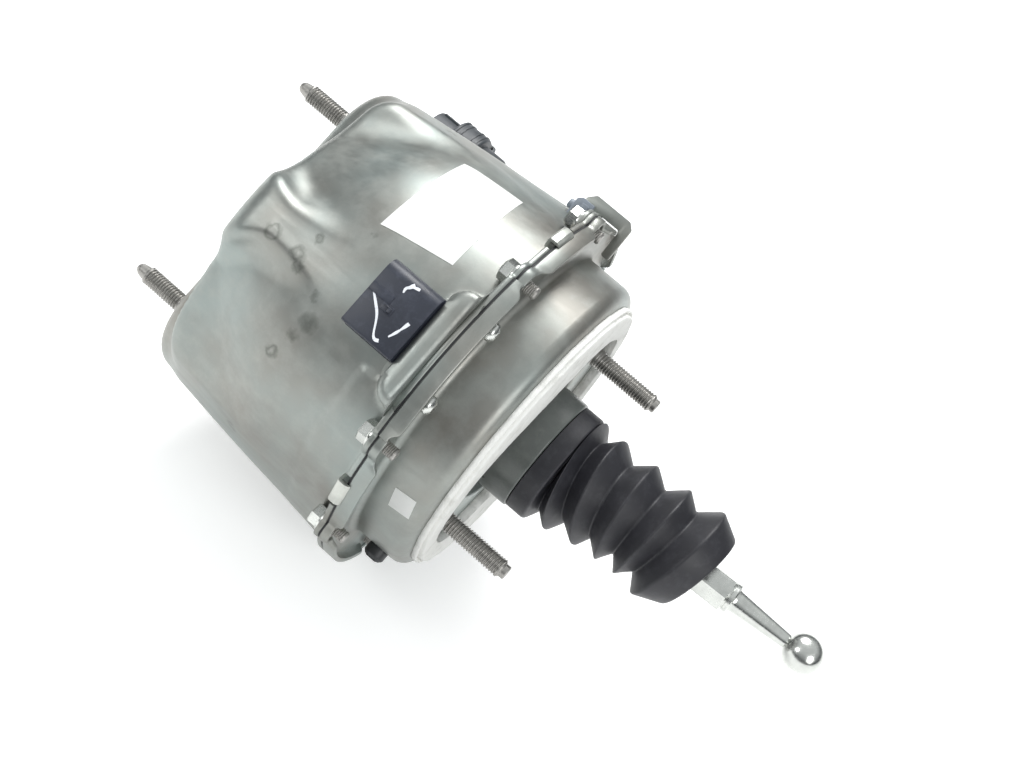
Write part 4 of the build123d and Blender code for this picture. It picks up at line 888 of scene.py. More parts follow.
class BOOSTER_OT_rear_shell(bpy.types.Operator):
    """Rear shell: dish with its pocket, the flange with its turned lip, and the four bent tabs"""

    bl_idname = "booster.rear_shell"
    bl_label = "Rear Shell"

    def execute(self, context):
        h, rear = context.scene.booster_housing, context.scene.booster_rear
        angles = column_angles(400)
        columns = len(angles)
        reach = flange_reach(angles, h)
        dish, sheet = mm(rear.dish_radius), mm(h.sheet)

        near = np.min([np.abs(apart(angles, screw)) for screw in SCREW_ANGLES], 0)
        # the lip is turned less far round the ears, which leaves the screws' tails in view
        ease = 2.6 * soft_step((0.1 - near) / 0.022)

        def level(y, r):
            return on_axis(y + np.zeros(columns), r + np.zeros(columns), angles)

        rows = [level(REAR_FLANGE_FRONT, reach - 0.3), level(REAR_FLANGE_FRONT - 0.3, reach),
                level(LIP_REAR + ease + 0.5, reach), level(LIP_REAR + ease + 0.12, reach - 0.25),
                level(LIP_REAR + ease, reach - 0.7), level(LIP_REAR + ease, reach - 1.5),
                level(LIP_REAR + ease + 0.3, reach - 2.0),
                level(REAR_FLANGE_REAR - 1.0, reach - 2.0), level(REAR_FLANGE_REAR - 0.3, reach - 2.4),
                level(REAR_FLANGE_REAR, reach - 3.4)]
        outline = soft_outline(
            [(REAR_FLANGE_REAR, dish + 6.5), (REAR_FLANGE_REAR, dish), (0, dish), (0, mm(rear.pocket_radius)),
             (3.5, mm(rear.pocket_radius) - 1), (3.5, 25.65), (5.5, 25.65), (5.5, 31.2), (sheet, 32.4),
             (sheet, dish - sheet), (REAR_FLANGE_FRONT, dish - sheet)],
            [0, 3.2, mm(rear.dish_corner), 1.5, 1.2, 0.2, 0.2, 1.0, 1.0, 4.0, 0], closed=False, steps=8)
        rows += [level(y, r) for y, r in outline]
        piece("rear_shell_pressing", lofted(rows), "shell_steel", "rear_shell")
        flange = mm(h.flange_radius)
        hook = soft_outline([(flange + 0.02, 26.0), (flange + 0.9, 26.8), (flange + 1.5, 28.0), (flange + 1.5, 31.45),
                             (flange - 3.5, 31.45), (flange - 3.5, 30.06), (flange + 0.12, 30.06)],
                            [0.1, 0.8, 0.8, 1.3, 0.4, 0.3, 0.3])
        parts = [placed(prism(hook, -5.6, 5.6), round_place(quarter, "ryt")) for quarter in QUARTERS]
        piece("bent_tabs", joined(*parts), "shell_steel", "rear_shell", material="tab_steel", bevel=(0.2, 2, 60))
        return {"FINISHED"}


class BOOSTER_OT_screws(bpy.types.Operator):
    """Flange screws: flanged hexagon heads with threaded tails, and the connector's rivets"""

    bl_idname = "booster.screws"
    bl_label = "Screws and Rivets"

    def execute(self, context):
        h = context.scene.booster_housing
        head = soft_outline([(0, 2.5), (0, 5.2), (1.2, 4.7), (1.5, 3.9)], [0, 0.35, 0.3, 0], closed=False, steps=3)
        points, faces = tube([(1.0, 4.62), (4.6, 4.62), (5.2, 4.0)], 6)
        hexagon = points[:, [0, 2, 1]], faces + [tuple(range(6))[::-1], tuple(range(12, 18))]
        source = plain_object("screw_source", joined(turned(head, 48, closed=False), hexagon),
                              material_of("plated_steel"))
        tail_ends = [(-10.5, 0), (-10.5, 1.9), (-9.8, 2.5)], [(-1.4, 2.5), (0.0, 2.5), (0.0, 0)]
        tail = threaded_rod("tail_source", tail_ends, -9.8, 8.4, 2.6, 0.8, "stud_steel", 24)
        for name, whole, slot in (("flange_screw_heads", source, "plated_steel"),
                                  ("flange_screw_tails", tail, "stud_steel")):
            # the screw through the bracket's foot sits one sheet higher
            obj = pairs(name, whole, mm(h.screw_circle), FLANGE_FACE, 0, SCREW_OFFSET, slot, 8, 90, 2, 1.6)
            fitted(shaded(obj, 32), "housing", "plated_steel", "flange_screws")
        dome = soft_outline([(0, 1.6), (0, 4.6), (-1.2, 3.9), (-4.2, 3.7), (-5.6, 1.9), (-5.6, 0)],
                            [0, 0.2, 0.8, 1.6, 1.6, 0], closed=False)
        shank = [(0, 1.6), (2.0, 1.6)]
        inside = [(2.0, 1.6), (2.0, 2.6), (3.1, 2.5), (3.1, 0)]
        source = plain_object("rivet_source", joined(*[turned(o, 32, closed=False) for o in (dome, shank, inside)]),
                              material_of("plated_steel"))
        obj = pairs("connector_rivet_set", source, mm(h.flange_radius) - 5, REAR_FLANGE_REAR, BULGE_ANGLE, 12,
                    "plated_steel")
        fitted(shaded(obj, 40), "housing", "plated_steel", "connector_rivets")
        return {"FINISHED"}


class BOOSTER_OT_studs(bpy.types.Operator):
    """Master cylinder and bulkhead studs with their rolled threads, run-outs and points"""

    bl_idname = "booster.studs"
    bl_label = "Studs"

    def execute(self, context):
        h, rear = context.scene.booster_housing, context.scene.booster_rear
        radius, pitch = mm(rear.stud_radius), mm(rear.stud_pitch)
        core = radius - 0.3
        foot = soft_outline([(-9, 0), (-9, 7), (-5, 7), (-5, 4.4), (0, 4.4), (0.25, radius), (5.2, radius),
                             (5.6, core)], [0, 0.4, 0.4, 0, 0.2, 0.1, 0.2, 0], closed=False, steps=3)
        tip = soft_outline([(24.2, core), (24.8, 3.25), (28.4, 2.5), (29.9, 1.5), (29.9, 0)], [0, 0.5, 1.0, 0.7, 0],
                           closed=False, steps=4)
        source = threaded_rod("front_stud", [foot, tip], 5.6, 18.6, radius - 0.02, pitch, "stud_steel", 40)
        obj = pairs("front_stud_set", source, FRONT_STUD_CIRCLE, mm(h.bridge_face), BRIDGE_ANGLE + 90, 90,
                    "stud_steel")
        fitted(shaded(obj, 38), "housing", "plated_steel", "master_cylinder_studs")
        foot = soft_outline([(9, 0), (9, 7), (5, 7), (5, 4.4), (0, 4.4), (-0.25, radius), (-1.4, radius), (-1.8, core)],
                            [0, 0.4, 0.4, 0, 0.2, 0.1, 0.2, 0], closed=False, steps=3)
        point = soft_outline([(-29.6, core), (-30.2, 3.3), (-30.4, 2.9), (-32.2, 2.9), (-32.5, 2.5), (-32.5, 0)],
                             [0, 0.2, 0.2, 0.2, 0.2, 0], closed=False, steps=2)
        source = threaded_rod("rear_stud", [foot, point], -29.6, 27.8, radius - 0.02, pitch, "stud_steel", 40)
        obj = pairs("rear_stud_set", source, REAR_STUD_CIRCLE, 0, REAR_STUD_ANGLE + 90, 90, "stud_steel")
        fitted(shaded(obj, 38), "housing", "plated_steel", "bulkhead_studs")
        return {"FINISHED"}


class BOOSTER_OT_gasket(bpy.types.Operator):
    """Foam gasket on the rear face, cut round the sleeve and the studs, with slightly rough edges"""

    bl_idname = "booster.gasket"
    bl_label = "Gasket"

    def execute(self, context):
        rear = context.scene.booster_rear
        columns = 360
        angles = spread(columns)
        off = apart(angles, REAR_STUD_ANGLE)
        cosine, sine = np.abs(np.cos(off)), np.abs(np.sin(off))
        # the opening is a slot with round ends, long enough for both studs
        half_width, reach = 34.0, 20.0
        straight = half_width / np.maximum(sine, 1e-6)
        round_end = reach * cosine + np.sqrt(np.maximum(half_width**2 - (reach * sine) ** 2, 0))
        inner = np.where(straight * cosine < reach, straight, round_end)
        wobble = 0.18 * np.sin(angles * 17 + 1.3) + 0.12 * np.sin(angles * 41 + 0.4) + 0.08 * np.sin(angles * 73)
        outer = mm(rear.gasket_radius) - 0.35 + wobble
        inner = inner + 0.35 + np.roll(wobble, 57)
        loops = [(0.0, outer - 0.1), (-0.4, outer + 0.1), (-2.0, outer + 0.25), (-2.3, outer - 0.1),
                 (-2.4, outer - 0.6), (-2.2, outer - 0.95), (-1.3, outer - 1.15), (-1.3, outer - 1.5),
                 (-3.3, outer - 1.7), (-3.75, outer - 2.0), (-3.9, outer - 2.6), (-3.95, outer - 4.0),
                 (-3.95, (outer + inner) / 2), (-3.9, inner + 1.0),
                 (-3.7, inner + 0.3), (-2.0, inner - 0.1), (-0.4, inner + 0.1), (0.0, inner + 0.3)]
        part = lofted([on_axis(np.full(columns, y), r, angles) for y, r in loops])
        piece("foam_gasket", part, "gasket_foam", "bulkhead_gasket", limit=60)
        return {"FINISHED"}


class BOOSTER_OT_sleeve(bpy.types.Operator):
    """Moulded guide sleeve with its spigot for the bellows"""

    bl_idname = "booster.sleeve"
    bl_label = "Guide Sleeve"

    def execute(self, context):
        outline = soft_outline(
            [(-21, 17.5), (-21, 21.5), (-13.2, 21.5), (-13.2, 25.5), (5.5, 25.5), (5.5, 32.5), (9.5, 32.5),
             (9.5, 21), (30, 21), (30, 17.5)],
            [0.5, 0.9, 0.4, 0.9, 0.3, 0.4, 0.4, 1.0, 0.5, 0.5])
        piece("guide_sleeve_moulding", turned(outline, 128), "sleeve_plastic", "guide_sleeve", limit=35)
        return {"FINISHED"}


class BOOSTER_OT_bellows(bpy.types.Operator):
    """Rubber bellows: folds with rounded crests and tight valleys, the band, and the end that holds the rod"""

    bl_idname = "booster.bellows"
    bl_label = "Bellows"

    # distance behind the rear face, height, tilt in degrees, radius, rounding
    rings = [(13.6, 0.0, 0, 24.8, 0.5), (21.9, 0.0, 0, 24.8, 1.2), (23.6, 0.5, -6, 18.5, 0.7),
             (27.2, 1.8, -13, 24.2, 0.6), (31.5, 2.4, -17, 17.0, 0.7), (38.5, 3.2, -17, 22.8, 0.8),
             (44.3, 3.9, -13, 16.2, 0.8), (51.3, 4.6, -8, 22.0, 0.8), (57.4, 5.2, -1, 15.8, 0.8),
             (63.4, 5.7, 4, 22.2, 0.8), (69.5, 6.0, 9, 16.8, 0.8), (76.0, 6.0, 12, 24.0, 1.0),
             (87.0, 5.7, 12, 18.5, 1.2), (86.9, 5.7, 9, 8.0, 0.4)]
    seam = 10

    def surface(self, rings, columns, inset=0.0):
        """Rows of points through the rings, each corner rounded."""
        values = [np.array([b, h, t, r - inset]) for b, h, t, r, _ in rings]
        rows = [values[0]]
        for before, here, after, ring in zip(values, values[1:], values[2:], rings[1:]):
            round_by = ring[4]
            first = here + (before - here) * min(round_by / math.hypot(*(here - before)[[0, 3]]), 0.4)
            last = here + (after - here) * min(round_by / math.hypot(*(after - here)[[0, 3]]), 0.4)
            rows.append((rows[-1] + first) / 2)
            for t in (0, 0.25, 0.5, 0.75, 1):
                rows.append(first * (1 - t) ** 2 + here * 2 * t * (1 - t) + last * t * t)
        rows.append(values[-1])
        angles = spread(columns)
        grid = []
        for back, height, tilt, radius in rows:
            lean, up = math.radians(tilt), radius * np.sin(angles)
            grid.append([radius * np.cos(angles), -back - up * math.sin(lean), height + up * math.cos(lean)])
        return np.array(grid).transpose(0, 2, 1)

    def execute(self, context):
        columns = 96
        outer = self.surface(self.rings, columns)
        inner_rings = [(13.6, 0.0, 0, 23.6, 0.3), (22.5, 0.0, 0, 23.6, 0.3), *self.rings[2:-2],
                       (85.2, 5.7, 12, 18.5, 0.6), (85.1, 5.7, 9, 9.8, 0.4)]
        inner = self.surface(inner_rings, columns, 1.8)
        seam_back = self.rings[self.seam][0]
        cut = sum(-row[:, 1].mean() <= seam_back + 0.01 for row in outer)
        for name, rows in (("bellows_folds", (outer[:cut], inner[:cut][::-1])),
                           ("bellows_end", (outer[cut - 1 :], inner[cut - 1 :][::-1]))):
            obj = plain_object(name, lofted(np.concatenate(rows)), material_of("boot_rubber"))
            shaded(obj, 60)
            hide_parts("bellows")
            if name == "bellows_folds":
                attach(obj, "housing")
                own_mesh(obj)
            else:
                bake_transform(obj)
        return {"FINISHED"}


class BOOSTER_OT_rod_end(bpy.types.Operator):
    """Ball end of the push rod: chamfered hexagon, collar, taper and pedal ball"""

    bl_idname = "booster.rod_end"
    bl_label = "Rod End"

    def execute(self, context):
        rear = context.scene.booster_rear
        lean = math.radians(ROD_TILT)
        rod = np.column_stack([(1, 0, 0), (0, -math.cos(lean), math.sin(lean)),
                               (0, -math.sin(lean), -math.cos(lean)), (0, ROD_PIVOT, 0)]).astype(float)
        columns = 96
        angles = spread(columns)
        half = mm(rear.hex_flats) / 2
        flat = half / np.cos((angles + math.pi / 6) % (math.pi / 3) - math.pi / 6)
        flat = np.minimum(flat, half * 1.135)
        ball = mm(rear.ball_radius)
        # hexagon with its chamfers, turned grooves and collar: place along the rod and round radius
        hexagon = ((86, 6.3), (86.05, 6.55), (86.9, 7.6), (100, 9.0), (107.0, 9.0), (107.9, 7.45), (108.2, 6.6),
                   (108.3, 6.05), (108.8, 5.95), (109.0, 6.3), (110.6, 6.3), (110.9, 6.0))
        bore = np.full(columns, 4.02)
        rows = [(101.4, np.zeros(columns)), (101.4, bore), (86, bore)]
        rows += [(d, np.minimum(flat, r)) for d, r in hexagon]
        centre = 143.2
        neck = soft_outline([(110.9, 6.0), (110.9, 5.0), (112.2, 4.5), (137.0, 2.85), (centre, 2.6)],
                            [0, 0.5, 1.5, 2.0, 0], closed=False)
        rows += [(d, np.full(columns, r)) for d, r in neck[1:-1]]
        for t in np.linspace(math.pi - math.asin(2.7 / ball), 0.0, 40):
            rows.append((centre + ball * math.cos(t), np.full(columns, max(ball * math.sin(t), 0.0))))
        part = lofted([np.stack([r * np.cos(angles), np.full(columns, float(d)), r * np.sin(angles)], -1)
                       for d, r in rows], loop=False)
        piece("ball_end", placed(part, rod), "plated_steel", "ball_stud", limit=28, body="push_rod")
        return {"FINISHED"}


class BOOSTER_OT_signal_connector(bpy.types.Operator):
    """Signal connector on the bulge: walled header with its rounded top, latch, ribs and open mouth"""

    bl_idname = "booster.signal_connector"
    bl_label = "Signal Connector"

    def execute(self, context):
        h = context.scene.booster_housing
        outer, inner_edge = mm(h.bulge_distance) + 2, mm(h.bulge_distance) - 10.2
        half = 14.2
        place = round_place(BULGE_ANGLE, "rty")
        rim = box_outline(inner_edge, outer, -half, half, [1.0, 5.4, 0.8, 0.8])
        hole = box_outline(inner_edge + 1.8, outer - 1.8, -half + 1.8, half - 1.8, [0.4, 3.4, 0.4, 0.4])
        base = box_outline(inner_edge, outer - 4.1, -half, half, 0.4)
        parts = [wall_prism(rim, hole, 40.05, 62.5, floor=46.0), prism(base, 33.0, 40.05)]

        def bar(r_low, r_high, t_low, t_high, y_low, y_high, corner=0.2):
            parts.append(prism(box_outline(r_low, r_high, t_low, t_high, corner, 2), y_low, y_high))

        for column in (-9.0, -3.0, 3.0, 9.0):
            bar(inner_edge + 0.6, inner_edge + 2.5, column - 0.45, column + 0.45, 46.0, 61.6)
        bar(outer - 0.6, outer + 0.28, -3.4, 0.2, 53.0, 62.2, 0.25)
        bar(outer - 0.6, outer + 0.28, -0.1, 3.1, 50.2, 55.0, 0.25)
        bar(outer - 0.6, outer + 0.7, 0.5, 2.6, 51.0, 52.2, 0.2)
        bar(outer - 0.6, outer + 0.7, 0.5, 0.95, 51.0, 54.2, 0.2)
        bar(outer - 0.6, outer + 0.7, 2.15, 2.6, 51.0, 54.2, 0.2)
        for side in (-1, 1):
            bar(inner_edge + 3.2, inner_edge + 5.0, side * half - 0.2, side * half + 0.2, 41.2, 62.0, 0.1)
        piece("signal_header", placed(joined(*parts), place), "black_plastic", "signal_connector",
              bevel=(0.22, 2, 50))
        lines = {"long": [(-1.6, 61.9), (-0.2, 60.0), (2.6, 56.6), (4.6, 54.2), (7.6, 52.2), (10.6, 50.6),
                          (11.9, 49.4), (12.1, 48.4), (11.5, 47.4)],
                 "short": [(8.4, 45.8), (5.4, 44.6), (3.0, 43.9), (0.4, 43.3)],
                 "tick": [(-6.3, 52.0), (-8.0, 52.4), (-9.6, 51.4), (-10.9, 50.6)],
                 "tail": [(-8.2, 52.2), (-10.2, 50.2), (-10.7, 48.2)]}
        for name, line in lines.items():
            piece("paint_stroke_" + name, placed(self.stroke(line, outer), place), "gasket_foam",
                  material="marker_paint")
        return {"FINISHED"}

    def stroke(self, line, face):
        """Thin stroke of paint of uneven width along a line, bent over the header's rounded top edge."""
        points = np.array(line)
        mids = (points[:-1] + points[1:]) / 2
        dense = [points[0]]
        for before, here, after in zip(mids, points[1:], mids[1:]):
            for t in (0, 0.25, 0.5, 0.75, 1):
                dense.append(before * (1 - t) ** 2 + here * 2 * t * (1 - t) + after * t * t)
        dense = np.array(dense + [points[-1]])
        way = np.gradient(dense, axis=0)
        side = np.column_stack([-way[:, 1], way[:, 0]]) / np.maximum(np.linalg.norm(way, axis=1), 1e-6)[:, None]
        share = np.linspace(0, 1, len(dense))
        thick = (0.34 + 0.12 * np.sin(share * 9 + len(dense)) + 0.18 * share)[:, None]
        outline = np.concatenate([dense + side * thick, (dense - side * thick)[::-1]])
        edge, corner = 8.8, 5.4
        past = np.clip(-edge - outline[:, 0], 0, corner - 0.1)
        back = corner - np.sqrt(corner**2 - past**2)
        count = len(outline)
        sheets = [np.column_stack([face + lift - back, outline]) for lift in (-0.05, 0.13)]
        faces = [(i, (i + 1) % count, count + (i + 1) % count, count + i) for i in range(count)]
        for i in range(count // 2 - 1):
            quad = (i, i + 1, count - 2 - i, count - 1 - i)
            faces += [quad[::-1], tuple(count + k for k in quad)]
        return np.concatenate(sheets), faces


class BOOSTER_OT_power_connector(bpy.types.Operator):
    """Power connector: saddle on the shell, body, locking collar with its eye, ribbed nose and round mouth"""

    bl_idname = "booster.power_connector"
    bl_label = "Power Connector"

    def execute(self, context):
        place = round_place(POWER_ANGLE, "rty")
        axis, columns = 90, 72
        outline = soft_outline([(88.5, 0.001), (88.5, 12.5), (99.5, 12.5), (99.5, 15.5), (113.5, 15.5), (113.5, 12.0),
                                (124.5, 12.0), (124.5, 9.4), (100.0, 9.4), (100.0, 0.001)],
                               [0, 1.6, 0.5, 1.6, 1.6, 0.6, 0.8, 0.5, 0.4, 0], steps=5)
        parts = [tube(outline, columns, axis), prism(box_outline(68.6, 88.5, -11, 11, 1.2), 89.5, 113.5)]
        for turn in range(0, 360, 60):
            c, s = math.cos(math.radians(turn)), math.sin(math.radians(turn))
            rib = np.array([(11.7, -0.8), (12.75, -0.8), (12.75, 0.8), (11.7, 0.8)])
            rib = np.column_stack([axis + rib[:, 0] * c - rib[:, 1] * s, rib[:, 0] * s + rib[:, 1] * c])
            parts.append(prism(rib, 113.0, 122.5))
        for y in (101.5, 104.0, 109.0, 111.5):
            band = [(y, 15.35), (y, 15.85), (y + 0.9, 15.85), (y + 0.9, 15.35)]
            parts.append(tube(band, columns, axis, loop=True))
        eye = box_outline(103.0, 107.5, 98.0, 103.5, [0.6, 2.0, 2.0, 0.6])
        centre = np.array([105.2, 100.8])
        first = math.atan2(*(eye[0] - centre)[::-1])
        turn = np.linspace(0, TAU, len(eye), endpoint=False) + first
        loop = wall_prism(eye, centre + 1.5 * np.column_stack([np.cos(turn), np.sin(turn)]), -2.4, 2.4)
        parts.append((loop[0][:, [0, 2, 1]], loop[1]))
        neck = tube([(60.1, 7.55), (76, 7.55)], columns, 0.0, 101, upright=False)
        parts.append((neck[0], neck[1] + [tuple(range(columns))[::-1]]))
        piece("power_socket", placed(joined(*parts), place), "grey_plastic", "power_connector", bevel=(0.2, 2, 50))
        return {"FINISHED"}


class BOOSTER_OT_bracket(bpy.types.Operator):
    """Harness bracket clamped by a flange screw, its clip, and the vent on the rear dish"""

    bl_idname = "booster.bracket"
    bl_label = "Bracket and Vent"

    def execute(self, context):
        h = context.scene.booster_housing
        body = mm(h.body_radius)
        outline = soft_outline([(body + 0.3, 30), (body + 0.3, 39), (88, 39), (91, 36), (91, 19.5), (88.5, 17),
                                (74, 17), (74, 20.8), (85.5, 20.8), (85.5, 30)],
                               [0.4, 1.0, 1.4, 1.4, 1.4, 1.2, 1.0, 1.0, 1.2, 1.0])
        place = round_place(BRACKET_ANGLE, "ryt")
        plate = placed(prism(outline, -0.8, 0.8), place)
        columns = 40
        sweep = np.radians(np.linspace(BRACKET_ANGLE - 0.5, 76.6, columns))
        off = sweep - np.radians(72.0)
        across = mm(h.screw_circle) * np.cos(off)
        room = np.sqrt(np.maximum(6.6**2 - (mm(h.screw_circle) * np.sin(off)) ** 2, 0))
        reach = np.minimum(np.where(np.abs(off) < 0.09, across + room, 86.0), mm(h.flange_radius) + 3.2)
        root = np.maximum(np.where(off > 0, across - room, body + 0.5), body + 0.5)
        rows = [on_axis(np.full(columns, y), r, sweep)
                for y, r in ((30.0, root), (30.0, reach), (31.6, reach), (31.6, root))]
        faces = grid_faces(4, columns, wrap=False, loop=True)
        faces += [(0, columns, 2 * columns, 3 * columns)[::-1],
                  (columns - 1, 2 * columns - 1, 3 * columns - 1, 4 * columns - 1)]
        foot = np.concatenate(rows), faces
        piece("bracket_plate", joined(plate, foot), "shell_steel", "harness_bracket", bevel=(0.3, 2, 50))
        clip = soft_outline([(77.3, 34), (87, 34), (87, 39.6), (85.6, 41.5), (78.6, 41.5), (77.3, 40)], 0.6)
        pad = box_outline(79.0, 85.4, 35.4, 38.6, 0.5)
        nub = soft_outline([(41.2, 2.0), (43.1, 2.0), (43.5, 1.6), (43.5, 0.0)], [0, 0.2, 0.2, 0], closed=False,
                           steps=2)
        parts = [placed(prism(clip, -2.4, 2.4), place), placed(prism(pad, 2.3, 3.0), place),
                 placed(tube(nub, 24, 82.1), round_place(BRACKET_ANGLE))]
        piece("clip_body", joined(*parts), "clip_plastic", "bracket_clip", bevel=(0.2, 2, 50))
        vent = soft_outline([(68.5, 4.4), (70.6, 4.5), (73.6, 4.5), (75.0, 3.2), (75.0, 0.0)], [0, 0.3, 0.9, 0.6, 0],
                            closed=False, steps=4)
        parts = [tube(vent, 24, 0.0, 12.5, upright=False)]
        for k in range(5):
            middle = -2.6 + k * 1.3
            bar = prism(box_outline(middle - 0.25, middle + 0.25, -2.2, 2.2, 0.15, 2), 74.8, 75.3)
            parts.append((bar[0][:, [2, 0, 1]] + [0, 0, 12.5], bar[1]))
        piece("vent_cap", placed(joined(*parts), round_place(VENT_ANGLE)), "grey_plastic", "breather_vent",
              material="vent_plastic")
        return {"FINISHED"}


class BOOSTER_OT_labels(bpy.types.Operator):
    """Blank labels on the front shell and on the rear dish"""

    bl_idname = "booster.labels"
    bl_label = "Labels"

    def execute(self, context):
        h = context.scene.booster_housing
        # corners as (angle in degrees, y)
        corners = [(81, 78.0), (78, 52.0), (115, 49.5), (119, 79.0)]
        angle, y = np.moveaxis([[between(corners, u, v) for u in np.linspace(0, 1, 40)]
                                for v in np.linspace(0, 1, 24)], -1, 0)
        angle = np.radians(angle)
        start = on_axis(y, 120.0, angle)
        heading = on_axis(0 * y, -1.0, angle)
        hit = meet(lambda p: front_field(p, h), start, heading)
        piece("front_label", film_between([hit - heading * lift for lift in (0.02, 0.16)]), "gasket_foam",
              material="label_film")
        rear = context.scene.booster_rear
        dish, corner = mm(rear.dish_radius), mm(rear.dish_corner)
        corners = [(176.3, 15.7), (175.3, 6.4), (183.0, 5.4), (184.2, 14.7)]
        angle, y = np.moveaxis([[between(corners, u, v) for u in np.linspace(0, 1, 9)]
                                for v in np.linspace(0, 1, 9)], -1, 0)
        # the label follows the rounded rear edge of the dish
        drop = corner - np.sqrt(np.maximum(corner**2 - np.maximum(corner - y, 0) ** 2, 0))
        sheets = [on_axis(y, dish - drop + lift, np.radians(angle)) for lift in (0.01, 0.14)]
        piece("rear_label", film_between(sheets), "gasket_foam", material="label_film")
        return {"FINISHED"}


class BOOSTER_OT_inner_parts(bpy.types.Operator):
    """Materials of the motor, screw drive, board and other parts whose CAD shape shows as it is"""

    bl_idname = "booster.inner_parts"
    bl_label = "Inner Parts"

    def execute(self, context):
        slots = {part["node"]: part["material_slot"] for part in frame["record"]["subparts"]}
        for name, obj in frame["nodes"].items():
            obj.data.materials.clear()
            obj.data.materials.append(material_of(slots[name]))
        low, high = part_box("return_spring")
        rear, front = low[1] / MM, high[1] / MM
        wire, mean, turns, sides, steps = 1.2, 15.0, 5, 14, 48
        run = np.linspace(0, 1, int(turns * steps) + 1)
        angle = run * turns * TAU
        middle = np.stack([mean * np.cos(angle), rear + wire + run * (front - rear - 2 * wire),
                           -mean * np.sin(angle)], -1)
        along = np.gradient(middle, axis=0)
        along /= np.linalg.norm(along, axis=1, keepdims=True)
        outward = np.stack([np.cos(angle), 0 * angle, -np.sin(angle)], -1)
        beside = np.cross(along, outward)
        cosine, sine = np.cos(spread(sides))[:, None], np.sin(spread(sides))[:, None]
        points, faces = lofted([m + wire * (o * cosine + b * sine) for m, o, b in zip(middle, outward, beside)],
                               loop=False)
        faces += [tuple(range(sides))[::-1], tuple(range(len(points) - sides, len(points)))]
        coil = piece("return_spring_coil", (points, faces), "spring_steel", "return_spring", limit=50)
        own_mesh(coil)
        return {"FINISHED"}


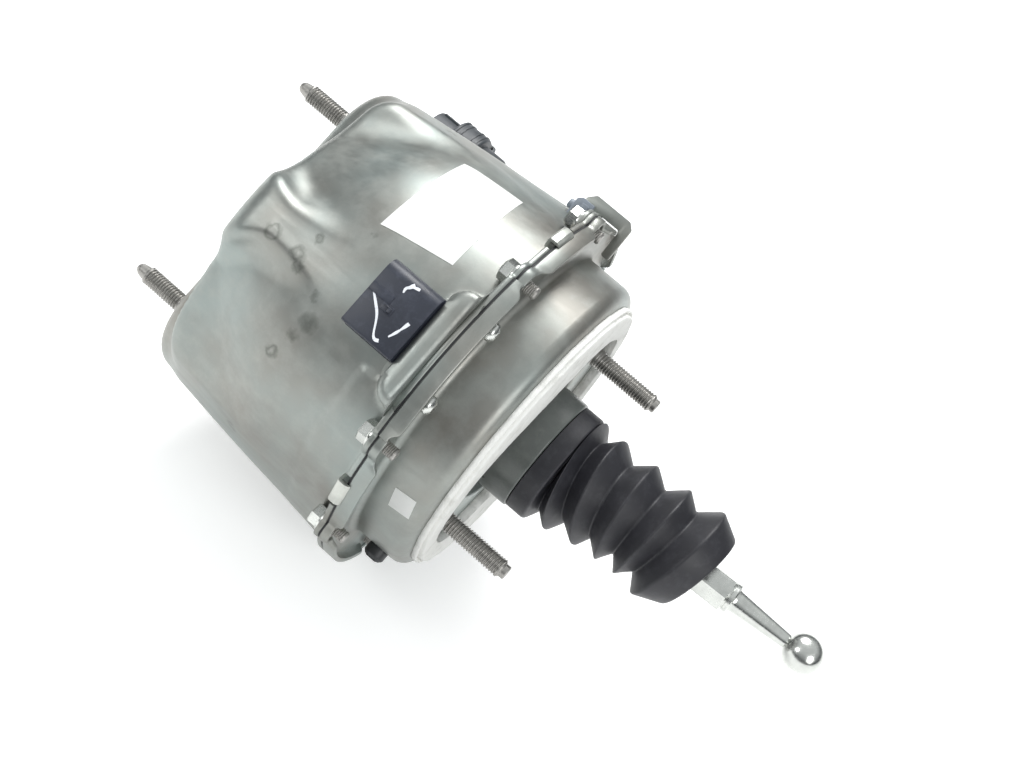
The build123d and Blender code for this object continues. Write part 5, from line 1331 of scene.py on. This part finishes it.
class BOOSTER_OT_stage(bpy.types.Operator):
    """Pale floor, soft studio lamps and the camera at the photograph's angle"""

    bl_idname = "booster.stage"
    bl_label = "Stage"

    def execute(self, context):
        scene = context.scene
        low, _ = cad_box
        floor_mesh = bpy.data.meshes.new("floor")
        reach = 6.0
        corners = [(-reach, -reach), (reach, -reach), (reach, reach), (-reach, reach)]
        floor_mesh.from_pydata([(x, y, low[2] - 0.0005) for x, y in corners], [], [(0, 1, 2, 3)])
        floor = bpy.data.objects.new("floor", floor_mesh)
        scene.collection.objects.link(floor)
        material = bpy.data.materials.new("Pale studio floor")
        material.use_nodes = True
        tree = material.node_tree
        tree.nodes.clear()
        path = add(tree, "ShaderNodeLightPath")
        seen = maths(tree, "MAXIMUM", path.outputs["Is Camera Ray"], path.outputs["Is Glossy Ray"])
        seen = maths(tree, "MAXIMUM", seen, path.outputs["Is Transmission Ray"])
        tone = mixed(tree, seen, linear("#B5B5B4"), scene.booster_finishes.floor)
        surface = add(tree, "ShaderNodeBsdfDiffuse", links={"Color": tone})
        glow = add(tree, "ShaderNodeEmission", {"Strength": 0.3})
        both = add(tree, "ShaderNodeAddShader", links={0: surface.outputs[0], 1: glow.outputs[0]})
        shown = add(tree, "ShaderNodeMixShader", links={0: seen, 1: surface.outputs[0], 2: both.outputs[0]})
        add(tree, "ShaderNodeOutputMaterial", links={"Surface": shown.outputs[0]})
        floor_mesh.materials.append(material)
        world = bpy.data.worlds.new("Studio")
        world.use_nodes = True
        tree = world.node_tree
        tree.nodes.clear()
        # a soft room: bright ceiling, dimmer walls that give the metal its dark streaks, white to the camera
        toward = add(tree, "ShaderNodeSeparateXYZ", links={0: add(tree, "ShaderNodeTexCoord").outputs["Generated"]})
        height = ranged(tree, toward.outputs[2], 0.12, 0.75, 0.0, 1.0)
        room = mixed(tree, height, linear("#43474A"), linear("#E2E5E6"))
        path = add(tree, "ShaderNodeLightPath")
        tone = mixed(tree, path.outputs["Is Glossy Ray"], linear("#D9DCDE"), room)
        tone = mixed(tree, path.outputs["Is Camera Ray"], tone, linear("#FDFDFC"))
        sky = add(tree, "ShaderNodeBackground", {1: 1.0}, {0: tone})
        add(tree, "ShaderNodeOutputWorld", links={0: sky.outputs[0]})
        scene.world = world
        centre = Vector((0.0, 0.03, 0.0))
        for name, spot, extent, power in (("key_lamp", (0.62, 0.42, 1.0), 0.75, 13.0),
                                          ("side_lamp", (-0.9, 0.9, 0.8), 0.5, 4.0),
                                          ("fill_lamp", (-0.75, -1.25, 0.75), 1.0, 10.0)):
            lamp = bpy.data.lights.new(name, "AREA")
            lamp.shape = "DISK"
            lamp.size = extent
            lamp.energy = power
            obj = bpy.data.objects.new(name, lamp)
            obj.location = spot
            obj.rotation_euler = (centre - Vector(spot)).to_track_quat("-Z", "Y").to_euler()
            scene.collection.objects.link(obj)
        camera = bpy.data.cameras.new("camera")
        camera.lens = 52.73
        camera.sensor_width = 36
        camera.clip_start, camera.clip_end = 0.01, 50
        eye = bpy.data.objects.new("camera", camera)
        eye.matrix_world = Matrix(((0.509, 0.433, -0.744, -0.4332), (-0.753, 0.643, -0.140, -0.0672),
                                   (0.418, 0.631, 0.653, 0.3971), (0, 0, 0, 1)))
        scene.collection.objects.link(eye)
        scene.camera = eye
        scene.view_settings.view_transform = "Standard"
        return {"FINISHED"}


class BOOSTER_PT_panel(bpy.types.Panel):
    """Lists the steps that dress the booster"""

    bl_idname = "BOOSTER_PT_panel"
    bl_label = "Brake Booster"
    bl_space_type = "VIEW_3D"
    bl_region_type = "UI"
    bl_category = "Booster"

    def draw(self, context):
        for operator in OPERATORS:
            self.layout.operator(operator.bl_idname)
        for group_name, kind in GROUPS.items():
            box = self.layout.box()
            for name in kind.__annotations__:
                box.prop(getattr(context.scene, group_name), name)


GROUPS = {"booster_housing": HousingSizes, "booster_rear": RearSizes, "booster_finishes": Finishes}
OPERATORS = (
    BOOSTER_OT_inner_parts,
    BOOSTER_OT_front_shell,
    BOOSTER_OT_rear_shell,
    BOOSTER_OT_screws,
    BOOSTER_OT_studs,
    BOOSTER_OT_gasket,
    BOOSTER_OT_sleeve,
    BOOSTER_OT_bellows,
    BOOSTER_OT_rod_end,
    BOOSTER_OT_signal_connector,
    BOOSTER_OT_power_connector,
    BOOSTER_OT_bracket,
    BOOSTER_OT_labels,
    BOOSTER_OT_stage,
)
CLASSES = (*GROUPS.values(), *OPERATORS, BOOSTER_PT_panel)


def register():
    for kind in CLASSES:
        bpy.utils.register_class(kind)
    for name, kind in GROUPS.items():
        setattr(bpy.types.Scene, name, bpy.props.PointerProperty(type=kind))


def unregister():
    for name in GROUPS:
        delattr(bpy.types.Scene, name)
    for kind in reversed(CLASSES):
        bpy.utils.unregister_class(kind)


def main():
    register()
    for operator in OPERATORS:
        group_name, _, call = operator.bl_idname.partition(".")
        getattr(getattr(bpy.ops, group_name), call)()


if __name__ == "__main__":
    main()
